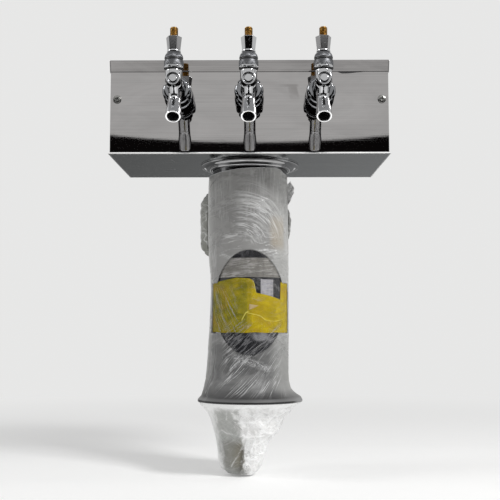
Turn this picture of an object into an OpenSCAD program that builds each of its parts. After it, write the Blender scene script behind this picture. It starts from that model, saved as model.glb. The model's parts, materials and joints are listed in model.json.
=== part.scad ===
// Three-tap T tower for draught drinks, with its packing film still on. Millimetres.
// Origin: centre of the base flange's underside, on the column's axis. +Z up, front towards -Y.

/* [Head box] */
// Width of the front panel
head_w = 355.6; // [330:1:420]
// Depth from the front panel to the back wall
head_depth = 167; // [155:1:200]
// Height from the floor's underside to the top of the lid
head_h = 122.3; // [115:1:150]
// Thickness of the sheet metal
sheet_t = 1.2; // [0.8:0.1:1.5]
// How far each end wall leans in by the back
end_taper = 3.6; // [0:0.2:5]
// Height of the lid's lip
lip_h = 15.3; // [12:0.1:20]
// How far the lid's lip stands out from the walls
lid_over = 1.8; // [1.7:0.1:3]
// Height of the hemmed edge round the floor
hem_h = 2.7; // [2:0.1:5]
// How far the hemmed edge stands out from the walls
hem_out = 1.9; // [1.5:0.1:3]
// Width of the return flanges behind the front panel
return_w = 24; // [21:0.5:30]
// Thickness of the foam lining
liner_t = 10; // [5:0.5:14]

/* [Column] */
// Outer diameter of the column tube
column_d = 100; // [96:0.5:104]
// Wall of the column tube
column_wall = 1.5; // [1:0.1:2.5]
// Length of the column tube between the flanges
column_h = 311.5; // [280:1:360]
// How far the collar under the head stands out from the column
collar_w = 16.4; // [15:0.1:20]
// Height of the collar
collar_h = 8; // [7.5:0.1:9]
// Thickness of the collar at its rim
collar_rim = 2.4; // [1.5:0.1:3]
// How far the base flange stands out from the column
base_w = 15; // [14:0.5:17]
// Thickness of the base flange
base_t = 3.2; // [2.5:0.1:5]
// Radius of the mounting holes in the base flange
base_hole_r = 2.75; // [2:0.05:3]
// How far floor and base flange reach inwards from the column's outside
line_lip = 8; // [7:0.5:12]
// Thickness of the ring inside the head that the column bolts pull on
backing_t = 3; // [2:0.1:5]

/* [Taps] */
// Distance between taps
tap_pitch = 88.9; // [80:0.1:92]
// Height of the plunger's axis above the underside of the head box
tap_up = 70.8; // [66:0.1:75]
// Distance from the front panel to the lever's axis
lever_reach = 83; // [80:0.1:88]
// Radius of the threaded shank
shank_r = 11.1; // [10.5:0.05:11.2]
// Radius of the shank's head
shank_head_r = 13.9; // [13.6:0.05:14]
// How far the shank goes into the head box
shank_tail = 30; // [26:1:34]
// Radius of the shank flange
shank_flange_r = 18.8; // [17:0.1:22]
// Depth of the shank flange
shank_flange_h = 21; // [19:0.5:22]
// Radius of the coupling nut
nut_r = 18; // [16.8:0.1:20]
// Length of the coupling nut
nut_len = 18; // [17:0.1:19]
// Radius of the tap's barrel
barrel_r = 10.2; // [10.2:0.05:10.8]
// Radius of the front boss
boss_r = 8.7; // [8.4:0.05:9]
// How far the boss stands in front of the lever's axis
boss_reach = 13.5; // [13.2:0.1:15]
// Radius of the neck
neck_r = 10.15; // [10.1:0.05:10.2]
// Outer radius of the spout at its mouth
spout_r = 9.15; // [8.8:0.05:9.5]
// Outer radius of the spout at its upper end
spout_top_r = 7.8; // [7.6:0.05:9]
// Bore radius of the spout's mouth
mouth_r = 6.95; // [6.7:0.05:7.2]
// Slope of the spout below the horizontal, in degrees
spout_slope = 55; // [53:0.5:57]
// Height of the mouth's centre below the plunger's axis
mouth_drop = 44.5; // [42:0.1:48]
// How far the mouth's centre is in front of the lever's axis
mouth_reach = 6; // [5:0.1:8]

/* [Levers] */
// Swing of the lever from closed to open, in degrees
lever_swing = 30; // [20:1:30]
// Height of the lever's pivot above the plunger's axis
pivot_h = 26.5; // [26.3:0.1:26.7]
// Radius of the lever's ball
ball_r = 5.5; // [5.3:0.05:5.6]
// Distance from the pivot to the centre of the finger's tip
finger_len = 9; // [8.8:0.1:9.2]
// Outer radius of the bonnet
bonnet_r = 11.65; // [11.4:0.05:12.5]
// Radius of the domed nut
dome_r = 11.2; // [11:0.05:11.4]
// Thread radius of the handle stud
stud_r = 4.76; // [4.5:0.01:5]
// Height of the stud's top above the plunger's axis
stud_top = 65.3; // [60:0.1:75]
// Height of the ferrule's top above the plunger's axis
ferrule_top = 52.2; // [48:0.1:55]
// Corner radius of the ferrule's top
ferrule_top_r = 9.7; // [8.5:0.05:11]
// Corner radius of the ferrule's foot
ferrule_foot_r = 7.9; // [7.4:0.05:8.2]

/* [Packing] */
// Thickness of the wound film
film_t = 0.8; // [0.5:0.1:1.5]
// How far the film skirt stands out from the base flange
skirt_out = 3.4; // [2:0.1:6]
// Depth of the film bag below the base
bag_depth = 98; // [90:1:120]
// Height of the oval badge
badge_h = 137; // [110:1:145]
// Width of the oval badge, seen from the front
badge_w = 90; // [70:1:92]
// Height of the badge's centre
badge_z = 127.5; // [115:0.5:140]
// Height of the tape band
tape_h = 69; // [50:0.5:75]
// Height of the tape band's centre
tape_z = 123; // [110:0.5:130]

/* [Hidden] */
TAPS = ["left", "middle", "right"];

$fn = 64;

// overrun of cuts, touching clearance, free clearance, thread clearance, running clearance
cut = 1;
seam = 0.15;
free = 0.3;
thread = 0.05;
run_gap = 0.05;

column_r = column_d / 2;
column_ri = column_r - column_wall;
base_r = column_r + base_w;
bolt_circle = column_d + base_w;
line_hole_r = column_r - line_lip;
skirt_r = base_r + skirt_out;
head_z = base_t + column_h;
floor_top = head_z + sheet_t;
head_top = head_z + head_h;
panel_y = -head_depth / 2;
back_y = head_depth / 2;

// column bolts
bolt_r = 1.95;
bolt_head_r = 3.5;
bolt_head_h = 3;
bolt_depth = 4;
bolt_holes = 4;
head_bolt_circle = column_d + 0.75 * collar_w;
backing_margin = 2;
bolt_angle = 45;

// sheet screws and their nuts
screw_r = 2.1;
screw_head_r = 5.35;
screw_head_h = 2.4;
screw_recess_r = 1.9;
screw_recess = 1.4;
clip_nut_w = 12;
clip_nut_t = 3;
liner_gap = 2;
panel_screw_inset = 8.6;
panel_screw_drop = 51.4;
panel_screw_z = head_top - panel_screw_drop;
lid_screw_inset = 30;
lid_screw_z = head_top - lip_h / 2;

// collar profile
collar_r = column_r + collar_w;
collar_round = 0.6;
collar_dome_share = [0.56, 0.78];
collar_bead_r = 2.2;

// tap sizes, along the plunger's axis from the lever's axis
tap_y = panel_y - lever_reach;
tap_z = head_z + tap_up;
nut_front = 38;
nut_lip_t = 4.2;
nut_bevel = 2.2;
nut_notches = 6;
nut_notch_r = 2.4;
gasket_t = 1.6;
body_collar_len = 6.8;
body_end = nut_front + nut_lip_t + body_collar_len;
body_collar_r = shank_head_r;
shank_front = body_end + gasket_t;
shank_head_end = lever_reach - shank_flange_h;
shank_bore_r = 3.2;
shank_counter_r = 8;
shank_counter = 6;
shank_end = lever_reach + shank_tail;
flange_face_share = 0.76;
flange_top_share = 0.74;
jam_nut_r = 17.3;
jam_nut_t = 6;

seat_y = 38;
seat_t = 3;
seat_r = 4.6;
chamber_r = 6;
rear_chamber_r = 8.5;
boss_bore_r = 6.65;
boss_recess = 1.3;
plug_t = 5;
plug_head_r = 5.8;
plug_skin = 1.4;
plug_sleeve_r = 4.3;
plug_sleeve_end = -3.6;

// spout
spout_len = 52;
spout_bore_len = 46;
mouth_len = 14;
mouth_step = 0.35;
spout_bore_r = mouth_r - mouth_step;
vent_w = 2.6;
vent_len = 17;
vent_depth = 1.2;
vent_start = 2.6;

// neck, bonnet, dome and lever, above the plunger's axis
ring_foot = 13.2;
ring_t = 1.4;
ring_r = 10.9;
neck_thread_h = 0.55;
neck_wall = 1.1;
neck_thread_r = neck_r - neck_thread_h;
neck_top = 21;
neck_cavity_r = neck_thread_r - neck_wall;
neck_lip_r = 6.4;
neck_lip_t = 1.2;
bonnet_foot = ring_foot + ring_t;
bonnet_top = 24.2;
friction_t = 3;
dome_foot = bonnet_top + friction_t;
dome_over = 7.4;
dome_top = pivot_h + dome_over;
spigot_wall = 1.4;
spigot_r = neck_thread_r - thread;
bonnet_bore_r = neck_thread_r + thread;
seat_ring_r = spigot_r - spigot_wall - seam;
seat_ring_drop = 0.5;
seat_ring_top = pivot_h - seat_ring_drop;
seat_ring_bore = 5.3;
rod_r = 2.6;
rod_slot_r = rod_r + free;
rod_slot_front = (dome_top - pivot_h) * tan(lever_swing) + rod_slot_r / cos(lever_swing);
finger_r = 2;
finger_stem_r = 1.5;
lever_collar_r = 8.3;
lever_collar_top = 36.8;
hub_r = 6.2;
hub_h = 4.4;
hub_top = lever_collar_top + hub_h;
ferrule_foot = lever_collar_top;
stud_foot = hub_top;
stud_root_r = stud_r - free;

// plunger
plunger_r = 2.95;
plunger_front = -10.4;
washer_gap = 0.1;
plunger_step = seat_y + seat_t + washer_gap;
stub_len = 5.2;
plunger_end = plunger_step + stub_len;
stub_r = 2.2;
post_w = 5;
post_half = 3.2;
post_over = 1.5;
post_top = pivot_h - finger_len + post_over;
fork_half = finger_r + seam;
fork_depth = 5;
guide_r = chamber_r - run_gap;
guide_y = 28;
guide_t = 4;
guide_flat_w = 9.6;
washer_r = 6.8;
washer_t = 3;
washer_nut_r = 4;
washer_nut_t = 2;

// tailpieces, hose and clamps, behind the shank
tail_nut_r = 14.5;
tail_nut_len = 14;
tail_nut_grip = 6;
tail_nut_wall = 1.5;
barb_r = 3.9;
barb_bore_r = 2.4;
barb_len = 16;
tail_body_r = 5.5;
barb_head_r = 9.5;
barb_head_t = 1.6;
hose_r = 5.5;
clamp_t = 1.1;
clamp_len = 8;
clamp_screw_r = 2.6;
hose_start = shank_end + tail_nut_len - tail_nut_grip + seam;
barb_end = hose_start + barb_len;

// packing
badge_gap = seam;
badge_t = 0.6;
tape_t = 0.4;
tape_arc = 130;
badge_in = column_r + badge_gap;
tape_in = badge_in + badge_t + badge_gap;
film_in = tape_in + tape_t + free;
film_out = film_in + film_t;
film_gap = 2.2;
film_top = head_z - collar_h - film_gap;
skirt_drop = 2.6;
// film outline: height as a share of the film's top, and growth as a share of the skirt's flare
film_shares = [[0.85, 0.02], [0.66, 0.05], [0.53, 0.012], [0.29, 0.012], [0.17, 0.17],
               [0.09, 0.27], [0.045, 0.46], [0.022, 0.8]];
// bag outline: depth, left half-width, right half-width, front half-depth as shares
bag_shares = [[0.027, 1, 1, 1], [0.09, 0.93, 0.92, 0.93], [0.22, 0.81, 0.77, 0.8],
              [0.34, 0.72, 0.64, 0.72], [0.45, 0.685, 0.55, 0.64], [0.56, 0.66, 0.45, 0.56],
              [0.7, 0.62, 0.325, 0.48], [0.86, 0.56, 0.21, 0.4], [0.95, 0.47, 0.165, 0.33],
              [1, 0.28, 0.05, 0.18]];
bag_inset = 0.9;
bag_r = skirt_r - bag_inset;
bag_sides = 32;
bag_pocket_r = 22.5;
bag_pocket_depth_share = 0.6;
bundle_w = 61;
bundle_h = 48;
bundle_d = 36;
bundle_x = -6;
bundle_y = 26;
bundle_drop = 66.5;
bundle_z = film_top - bundle_drop;
tuft_w = 8;
tuft_h = 28;
tuft_t = 3;
tuft_drop = 46.5;
tuft_z = film_top - tuft_drop;

// lines: where they run down the column, how far they hang, and the curve's steps
line_seats = [[-14, -8], [0, 15], [14, -8]];
line_tail = 52;
line_bend = 44;
line_drop = 62;
line_steps = 12;
line_sides = 8;
hose_lap = 1;
foam_gap = 6;

// Outline of the box at its footprint, grown outwards by the given amount
function footprint(grow) = [
    [-head_w / 2 - grow, panel_y - grow], [head_w / 2 + grow, panel_y - grow],
    [head_w / 2 - end_taper + grow, back_y + grow], [-head_w / 2 + end_taper - grow, back_y + grow]];

// Place of bolt i on a circle of the given diameter
function bolt_place(d, i) = let (a = bolt_angle + i * 360 / bolt_holes)
    [d / 2 * cos(a), d / 2 * sin(a)];

function tap_x(i) = (i - 1) * tap_pitch;

function unit(v) = v / norm(v);

// Point at share t of a four-point curve
function bezier(p, t) = pow(1 - t, 3) * p[0] + 3 * t * pow(1 - t, 2) * p[1]
    + 3 * t * t * (1 - t) * p[2] + pow(t, 3) * p[3];

// Round a path: ring of points square to the path's direction at point i
function path_ring(path, i, r, sides) =
    let (a = path[max(i - 1, 0)], b = path[min(i + 1, len(path) - 1)], d = unit(b - a),
         u = unit(cross(d, [0, 1, 1])), v = cross(u, d))
    [for (k = [0 : sides - 1]) path[i] + r * (cos(360 * k / sides) * u + sin(360 * k / sides) * v)];

// Faces of a stack of rings, closed at both ends
function stack_faces(rings, sides) = concat(
    [[for (k = [0 : sides - 1]) sides - 1 - k]],
    [for (i = [0 : rings - 2], k = [0 : sides - 1]) let (n = (k + 1) % sides)
        each [[i * sides + k, i * sides + n, (i + 1) * sides + k],
              [i * sides + n, (i + 1) * sides + n, (i + 1) * sides + k]]],
    [[for (k = [0 : sides - 1]) (rings - 1) * sides + k]]);

module ring_z(r_out, r_in, z0, z1) {
    difference() {
        translate([0, 0, z0]) cylinder(r = r_out, h = z1 - z0);
        translate([0, 0, z0 - cut]) cylinder(r = r_in, h = z1 - z0 + 2 * cut);
    }
}

module rod_y(r, y0, y1) {
    translate([0, y0, 0]) rotate([-90, 0, 0]) cylinder(r = r, h = y1 - y0);
}

module ring_y(r_out, r_in, y0, y1) {
    difference() {
        rod_y(r_out, y0, y1);
        rod_y(r_in, y0 - cut, y1 + cut);
    }
}

module hex_y(r, y0, y1) {
    translate([0, y0, 0]) rotate([-90, 0, 0]) cylinder(r = r, h = y1 - y0, $fn = 6);
}

module at_tap(i) {
    translate([tap_x(i), tap_y, tap_z]) children();
}

module at_bolts(d) {
    for (i = [0 : bolt_holes - 1]) translate(bolt_place(d, i)) children();
}

// Head box

module floor_plate() color("silver") difference() {
    translate([0, 0, head_z]) linear_extrude(hem_h) polygon(footprint(hem_out));
    translate([0, 0, floor_top]) linear_extrude(hem_h) polygon(footprint(seam));
    translate([0, 0, head_z - cut]) cylinder(r = line_hole_r, h = hem_h + 2 * cut);
    translate([0, 0, head_z - cut]) at_bolts(head_bolt_circle)
        cylinder(r = bolt_r + seam, h = hem_h + 2 * cut);
}

module shell_outline() {
    difference() {
        polygon(footprint(0));
        polygon(footprint(-sheet_t));
        translate([-head_w, panel_y - cut]) square([2 * head_w, sheet_t + cut]);
    }
    for (side = [-1, 1])
        translate([side * (head_w / 2 - return_w / 2 - sheet_t / 2), panel_y + 1.5 * sheet_t])
            square([return_w, sheet_t], center = true);
}

module head_shell() color("silver") difference() {
    translate([0, 0, floor_top]) linear_extrude(head_h - 2 * sheet_t) shell_outline();
    at_panel_screws() rod_y(screw_r + seam, -cut, 3 * sheet_t);
    at_lid_screws() rod_y(screw_r + seam, -2 * sheet_t - lid_over, cut);
}

module at_panel_screws() {
    for (side = [-1, 1])
        translate([side * (head_w / 2 - panel_screw_inset), panel_y, panel_screw_z]) children();
}

module at_lid_screws() {
    for (side = [-1, 1])
        translate([side * (head_w / 2 - lid_screw_inset), back_y + lid_over, lid_screw_z])
            children();
}

module front_panel() color("lightgray") difference() {
    translate([-head_w / 2, panel_y, floor_top])
        cube([head_w, sheet_t, head_h - 2 * sheet_t]);
    at_panel_screws() rod_y(screw_r + seam, -cut, sheet_t + cut);
    for (i = [0 : 2]) translate([tap_x(i), panel_y, tap_z]) rod_y(shank_r + free, -cut, sheet_t + cut);
}

module head_lid() color("lightgray") difference() {
    translate([-head_w / 2 - lid_over, panel_y - lid_over, head_top - lip_h])
        cube([head_w + 2 * lid_over, head_depth + 2 * lid_over, lip_h]);
    translate([-head_w / 2 - lid_over + sheet_t, panel_y - lid_over + sheet_t,
               head_top - lip_h - cut])
        cube([head_w + 2 * (lid_over - sheet_t), head_depth + 2 * (lid_over - sheet_t),
              lip_h - sheet_t + cut]);
    at_lid_screws() rod_y(screw_r + seam, -2 * sheet_t, cut);
}

module sheet_screw() difference() {
    union() {
        rod_y(screw_head_r, -screw_head_h, 0);
        rod_y(screw_r, -cut, 2 * sheet_t + clip_nut_t + cut);
    }
    rod_y(screw_recess_r, -screw_head_h - cut, screw_recess - screw_head_h);
}

module sheet_screws() color("gray") {
    at_panel_screws() sheet_screw();
    at_lid_screws() rotate([0, 0, 180]) sheet_screw();
}

module clip_nut() difference() {
    translate([-clip_nut_w / 2, 0, -clip_nut_w / 2]) cube([clip_nut_w, clip_nut_t, clip_nut_w]);
    rod_y(screw_r + seam, -cut, clip_nut_t + cut);
}

module clip_nuts() color("dimgray") {
    at_panel_screws() translate([0, 2 * sheet_t, 0]) clip_nut();
    at_lid_screws() rotate([0, 0, 180]) translate([0, lid_over + sheet_t, 0]) clip_nut();
}

module head_liner() color("khaki") {
    front = panel_y + sheet_t + seam + liner_t;
    top_sheet = head_top - sheet_t - liner_t;
    translate([0, 0, floor_top]) linear_extrude(lid_screw_z - clip_nut_w - floor_top) difference() {
        polygon(footprint(-sheet_t - seam));
        polygon(footprint(-sheet_t - seam - liner_t));
        translate([-head_w, panel_y - cut]) square([2 * head_w, front - panel_y + cut]);
    }
    translate([0, 0, top_sheet]) linear_extrude(liner_t) intersection() {
        polygon(footprint(-sheet_t - clip_nut_t - liner_gap));
        translate([-head_w, front]) square([2 * head_w, head_depth]);
    }
}

// Column

module collar() color("gainsboro") difference() {
    bead_x = column_r + thread + collar_bead_r;
    translate([0, 0, head_z]) rotate_extrude() polygon(concat(
        [[column_r + thread, 0], [collar_r - collar_round, 0],
         [collar_r, -collar_round], [collar_r, -collar_rim + collar_round],
         [collar_r - collar_round, -collar_rim],
         [column_r + (collar_r - column_r) * collar_dome_share[1], -collar_h * 0.42],
         [column_r + (collar_r - column_r) * collar_dome_share[0], -collar_h * 0.6]],
        [for (a = [20 : -20 : -180])
            [bead_x + collar_bead_r * cos(a), collar_bead_r * (1 + sin(a)) - collar_h]]));
    translate([0, 0, head_z - bolt_depth]) at_bolts(head_bolt_circle)
        cylinder(r = bolt_r + thread, h = bolt_depth + cut);
}

module column_tube() color("silver") ring_z(column_r, column_ri, base_t, head_z);

module backing_ring() color("gray") difference() {
    backing_r = head_bolt_circle / 2 + bolt_head_r + backing_margin;
    ring_z(backing_r, line_hole_r, floor_top, floor_top + backing_t);
    translate([0, 0, floor_top - cut]) at_bolts(head_bolt_circle)
        cylinder(r = bolt_r + seam, h = backing_t + 2 * cut);
}

module head_bolts() color("dimgray") translate([0, 0, floor_top + backing_t])
    at_bolts(head_bolt_circle) {
    cylinder(r = bolt_head_r, h = bolt_head_h);
    translate([0, 0, -backing_t - sheet_t - bolt_depth + free])
        cylinder(r = bolt_r, h = backing_t + sheet_t + bolt_depth - free);
}

module column_foam() color("khaki") difference() {
    translate([0, 0, base_t + foam_gap]) cylinder(r = column_ri - seam, h = column_h - 2 * foam_gap);
    for (p = line_seats) translate([p[0], p[1], base_t])
        cylinder(r = hose_r + free, h = column_h);
}

module base_flange() color("silver") difference() {
    cylinder(r = base_r, h = base_t);
    translate([0, 0, -cut]) cylinder(r = line_hole_r, h = base_t + 2 * cut);
    translate([0, 0, -cut]) at_bolts(bolt_circle) cylinder(r = base_hole_r, h = base_t + 2 * cut);
}

module badge() color([0.12, 0.12, 0.13]) intersection() {
    ring_z(badge_in + badge_t, badge_in, badge_z - badge_h, badge_z + badge_h);
    translate([0, 0, badge_z]) rotate([90, 0, 0]) linear_extrude(column_d)
        polygon([for (k = [0 : 59]) [badge_w / 2 * cos(6 * k), badge_h / 2 * sin(6 * k)]]);
}

module tape_band() color("gold") rotate([0, 0, -90 - tape_arc])
    rotate_extrude(angle = 2 * tape_arc)
        translate([tape_in, tape_z - tape_h / 2]) square([tape_t, tape_h]);

// Packing

module film_wrap() color([0.85, 0.86, 0.87]) rotate_extrude() {
    flare = skirt_r - film_out;
    polygon(concat(
        [[film_in, film_top], [film_out, film_top]],
        [for (s = film_shares) [film_out + s[1] * flare, s[0] * film_top]],
        [[skirt_r, base_t + film_t], [skirt_r - film_t, -skirt_drop],
         [base_r + free, -skirt_drop], [base_r + free, base_t + free],
         [film_in, base_t + free]]));
}

module tail_bag() color([0.9, 0.9, 0.91]) difference() {
    polyhedron(
        points = [for (s = bag_shares, k = [0 : bag_sides - 1])
            let (a = 360 * k / bag_sides, side = cos(a) < 0 ? s[1] : s[2])
            [bag_r * side * cos(a), bag_r * s[3] * sin(a),
             s == bag_shares[0] ? -skirt_drop : -bag_depth * s[0]]],
        faces = stack_faces(len(bag_shares), bag_sides));
    translate([0, 0, -bag_depth * bag_pocket_depth_share])
        cylinder(r = bag_pocket_r, h = bag_depth);
}

module rear_bundle() color([0.8, 0.81, 0.82]) difference() {
    translate([bundle_x, bundle_y, bundle_z]) scale([bundle_w, bundle_d, bundle_h]) sphere(r = 1, $fn = 32);
    translate([0, 0, bundle_z - 2 * bundle_h])
        cylinder(r = film_out + 0.05 * (skirt_r - film_out) + free, h = 4 * bundle_h);
}

module film_tuft() color([0.85, 0.86, 0.87])
    translate([film_out + 2 * free, 0, tuft_z]) rotate([90, 0, 0])
        linear_extrude(tuft_t, center = true)
            polygon([[0, tuft_h * 0.1], [tuft_w * 0.3, 0], [tuft_w * 0.8, tuft_h * 0.3],
                     [tuft_w, tuft_h * 0.55], [tuft_w * 0.75, tuft_h * 0.8],
                     [tuft_w * 0.55, tuft_h], [tuft_w * 0.2, tuft_h * 0.75], [0, tuft_h * 0.6]]);

// Taps, fixed pieces

module faucet_body() color("gainsboro") difference() {
    union() {
        rod_y(body_collar_r, nut_front + nut_lip_t + seam, body_end);
        rod_y(barrel_r, 0, body_end - seam);
        sphere(r = barrel_r);
        rod_y(boss_r, -boss_reach, 0);
        cylinder(r = neck_r, h = ring_foot);
        cylinder(r = neck_thread_r, h = neck_top);
        at_mouth() cylinder(r1 = spout_r, r2 = spout_top_r, h = spout_len);
    }
    rod_y(boss_bore_r, -boss_reach - cut, -boss_reach + boss_recess + plug_t);
    rod_y(chamber_r, -boss_reach + boss_recess, seat_y);
    rod_y(seat_r, seat_y - cut, seat_y + seat_t + cut);
    rod_y(rear_chamber_r, seat_y + seat_t, body_end + cut);
    cylinder(r = neck_cavity_r, h = neck_top - neck_lip_t);
    cylinder(r = neck_lip_r, h = neck_top + cut);
    at_mouth() {
        translate([0, 0, -cut]) cylinder(r = mouth_r, h = mouth_len + cut);
        cylinder(r = spout_bore_r, h = spout_bore_len);
        vent_slot();
    }
}

// The spout's own frame: +Z from the mouth's centre up the bore, -Y to its upper front side
module at_mouth() {
    translate([0, -mouth_reach, -mouth_drop]) rotate([spout_slope - 90, 0, 0]) children();
}

module vent_slot() {
    translate([0, -spout_r + vent_depth, 0]) rotate([90, 0, 0]) {
        translate([-vent_w / 2, vent_start + vent_w / 2, 0])
            cube([vent_w, vent_len - vent_w, vent_depth + cut]);
        for (z = [vent_start + vent_w / 2, vent_start + vent_len - vent_w / 2])
            translate([0, z, 0]) cylinder(r = vent_w / 2, h = vent_depth + cut);
        translate([0, vent_start + vent_len - vent_w, -spout_r + mouth_r - vent_depth])
            cylinder(r = vent_w / 2, h = spout_r);
    }
}

module coupling_nut() color("lightgray") difference() {
    bore = shank_head_r + 2 * thread;
    translate([0, nut_front, 0]) rotate([-90, 0, 0]) rotate_extrude() polygon([
        [barrel_r + free, 0], [nut_r - 1.4 * nut_bevel, 0],
        [nut_r - 0.5 * nut_bevel, 0.4 * nut_bevel], [nut_r, 1.6 * nut_bevel],
        [nut_r, nut_len - 0.5 * nut_bevel], [nut_r - 0.4 * nut_bevel, nut_len],
        [bore, nut_len], [bore, nut_lip_t], [barrel_r + free, nut_lip_t]]);
    for (k = [0 : nut_notches - 1]) rotate([0, 360 * (k + 0.5) / nut_notches, 0])
        translate([nut_r + nut_notch_r * 0.4, 0, 0])
            rod_y(nut_notch_r, nut_front - cut, nut_front + nut_len + cut);
}

module bonnet() color("silver") ring_z(bonnet_r, bonnet_bore_r, bonnet_foot, bonnet_top);

module dome_nut() color("silver") difference() {
    union() {
        intersection() {
            translate([0, 0, pivot_h]) sphere(r = dome_r);
            translate([0, 0, dome_foot]) cylinder(r = 2 * dome_r, h = dome_top - dome_foot);
        }
        ring_z(spigot_r, spigot_r - spigot_wall, neck_top + free, dome_foot + seam);
    }
    translate([0, 0, pivot_h]) sphere(r = ball_r + run_gap);
    cylinder(r = rod_slot_r, h = dome_top + cut);
    translate([0, rod_slot_r - rod_slot_front, 0]) cylinder(r = rod_slot_r, h = dome_top + cut);
    translate([-rod_slot_r, rod_slot_r - rod_slot_front, 0])
        cube([2 * rod_slot_r, rod_slot_front - rod_slot_r, dome_top + cut]);
}

module per_tap() {
    for (i = [0 : 2]) at_tap(i) children();
}

module shanks() color("gray") per_tap() difference() {
    union() {
        rod_y(shank_head_r, shank_front, shank_head_end);
        rod_y(shank_r, shank_front, shank_end);
    }
    rod_y(shank_bore_r, shank_front - cut, shank_end + cut);
    rod_y(shank_counter_r, shank_front - cut, shank_front + shank_counter);
}

module shank_flanges() color("lightgray") per_tap()
    translate([0, lever_reach - shank_flange_h, 0]) rotate([-90, 0, 0]) rotate_extrude()
        polygon([[shank_r + free, 0], [shank_flange_r * flange_top_share, 0],
                 [shank_flange_r * 0.88, shank_flange_h * 0.06],
                 [shank_flange_r * 0.96, shank_flange_h * 0.2],
                 [shank_flange_r, shank_flange_h * flange_face_share],
                 [shank_flange_r, shank_flange_h], [shank_r + free, shank_flange_h]]);

module jam_nuts() color("gray") per_tap() difference() {
    hex_y(jam_nut_r, lever_reach + sheet_t, lever_reach + sheet_t + jam_nut_t);
    rod_y(shank_r + thread, lever_reach, lever_reach + jam_nut_t + 2 * sheet_t);
}

module coupling_gaskets() color("black") per_tap()
    ring_y(shank_head_r - free, rear_chamber_r, body_end, shank_front);

module front_plugs() color("silver") per_tap() difference() {
    union() {
        rod_y(plug_head_r, -boss_reach + boss_recess, -boss_reach + boss_recess + plug_t);
        rod_y(boss_bore_r - thread, -boss_reach + boss_recess + plug_skin,
              -boss_reach + boss_recess + plug_t);
        rod_y(plug_sleeve_r, -boss_reach + boss_recess + plug_skin, plug_sleeve_end);
    }
    rod_y(plunger_r + run_gap, -boss_reach + boss_recess + plug_skin, 0);
}

module ball_seats() color("white") per_tap() difference() {
    translate([0, 0, neck_top]) cylinder(r = seat_ring_r, h = seat_ring_top - neck_top);
    translate([0, 0, neck_top - cut]) cylinder(r = seat_ring_bore, h = seat_ring_top);
    translate([0, 0, pivot_h]) sphere(r = ball_r + run_gap);
}

module friction_rings() color([0.05, 0.05, 0.05]) per_tap() {
    ring_z(ring_r, bonnet_bore_r, ring_foot, bonnet_foot);
    ring_z(ring_r, bonnet_bore_r, bonnet_top, dome_foot);
}

module tail_nuts() color("gray") per_tap() difference() {
    hex_y(tail_nut_r, shank_end - tail_nut_grip, shank_end - tail_nut_grip + tail_nut_len);
    rod_y(shank_r + thread, shank_end - tail_nut_grip - cut, shank_end + barb_head_t);
    rod_y(tail_body_r + thread, shank_end, shank_end + tail_nut_len);
}

module tailpieces() color("silver") per_tap() difference() {
    union() {
        rod_y(barb_head_r, shank_end, shank_end + barb_head_t);
        rod_y(tail_body_r, shank_end, hose_start - seam);
        rod_y(barb_r, shank_end, barb_end);
    }
    rod_y(barb_bore_r, shank_end - cut, barb_end + cut);
}

module hose_clamps() color("silver") per_tap() translate([0, hose_start + barb_len / 4, 0]) {
    ring_y(hose_r + clamp_t, hose_r + thread, 0, clamp_len);
    translate([-clamp_len / 2, clamp_len / 2, hose_r + clamp_t + clamp_screw_r * 0.8])
        rotate([0, 90, 0]) cylinder(r = clamp_screw_r, h = clamp_len);
}

// The line's axis, from the barb's end to the tail below the base
function line_path(i) =
    let (s = line_seats[i], a = [tap_x(i), tap_y + barb_end + hose_lap, tap_z],
         p = [a, a + [0, line_bend, 0], [s[0], s[1], head_z + line_drop],
              [s[0], s[1], head_z + hose_r]])
    concat([for (k = [0 : line_steps]) bezier(p, k / line_steps)],
           [[s[0], s[1], column_h / 2], [s[0], s[1], base_t], [s[0], s[1], -line_tail]]);

module beer_line(i) color("whitesmoke") {
    path = line_path(i);
    at_tap(i) difference() {
        rod_y(hose_r, hose_start, barb_end + 2 * hose_lap);
        rod_y(barb_r + thread, hose_start - cut, barb_end + free);
    }
    polyhedron(
        points = [for (k = [0 : len(path) - 1]) each path_ring(path, k, hose_r, line_sides)],
        faces = stack_faces(len(path), line_sides));
}

// Taps, moving pieces

module lever() color("gainsboro") difference() {
    union() {
        translate([0, 0, pivot_h]) sphere(r = ball_r);
        translate([0, 0, pivot_h]) cylinder(r = rod_r, h = hub_top - pivot_h);
        translate([0, 0, pivot_h - finger_len]) cylinder(r = finger_stem_r, h = finger_len);
        translate([0, 0, pivot_h - finger_len]) sphere(r = finger_r);
        difference() {
            union() {
                translate([0, 0, pivot_h]) cylinder(r = lever_collar_r, h = lever_collar_top - pivot_h);
                translate([0, 0, pivot_h]) cylinder(r = hub_r, h = hub_top - pivot_h);
            }
            translate([0, 0, pivot_h]) sphere(r = dome_r + free);
        }
    }
}

module ferrule() color("lightgray") difference() {
    translate([0, 0, ferrule_foot])
        cylinder(r1 = ferrule_foot_r, r2 = ferrule_top_r, h = ferrule_top - ferrule_foot, $fn = 6);
    translate([0, 0, ferrule_foot - cut]) cylinder(r = hub_r + thread, h = hub_top - ferrule_foot + cut);
    cylinder(r = stud_root_r + thread, h = ferrule_top + cut);
}

module stud() color("goldenrod") {
    translate([0, 0, stud_foot]) cylinder(r = stud_root_r, h = stud_top - stud_foot);
    translate([0, 0, ferrule_top + seam]) cylinder(r = stud_r, h = stud_top - ferrule_top - seam);
}

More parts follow.
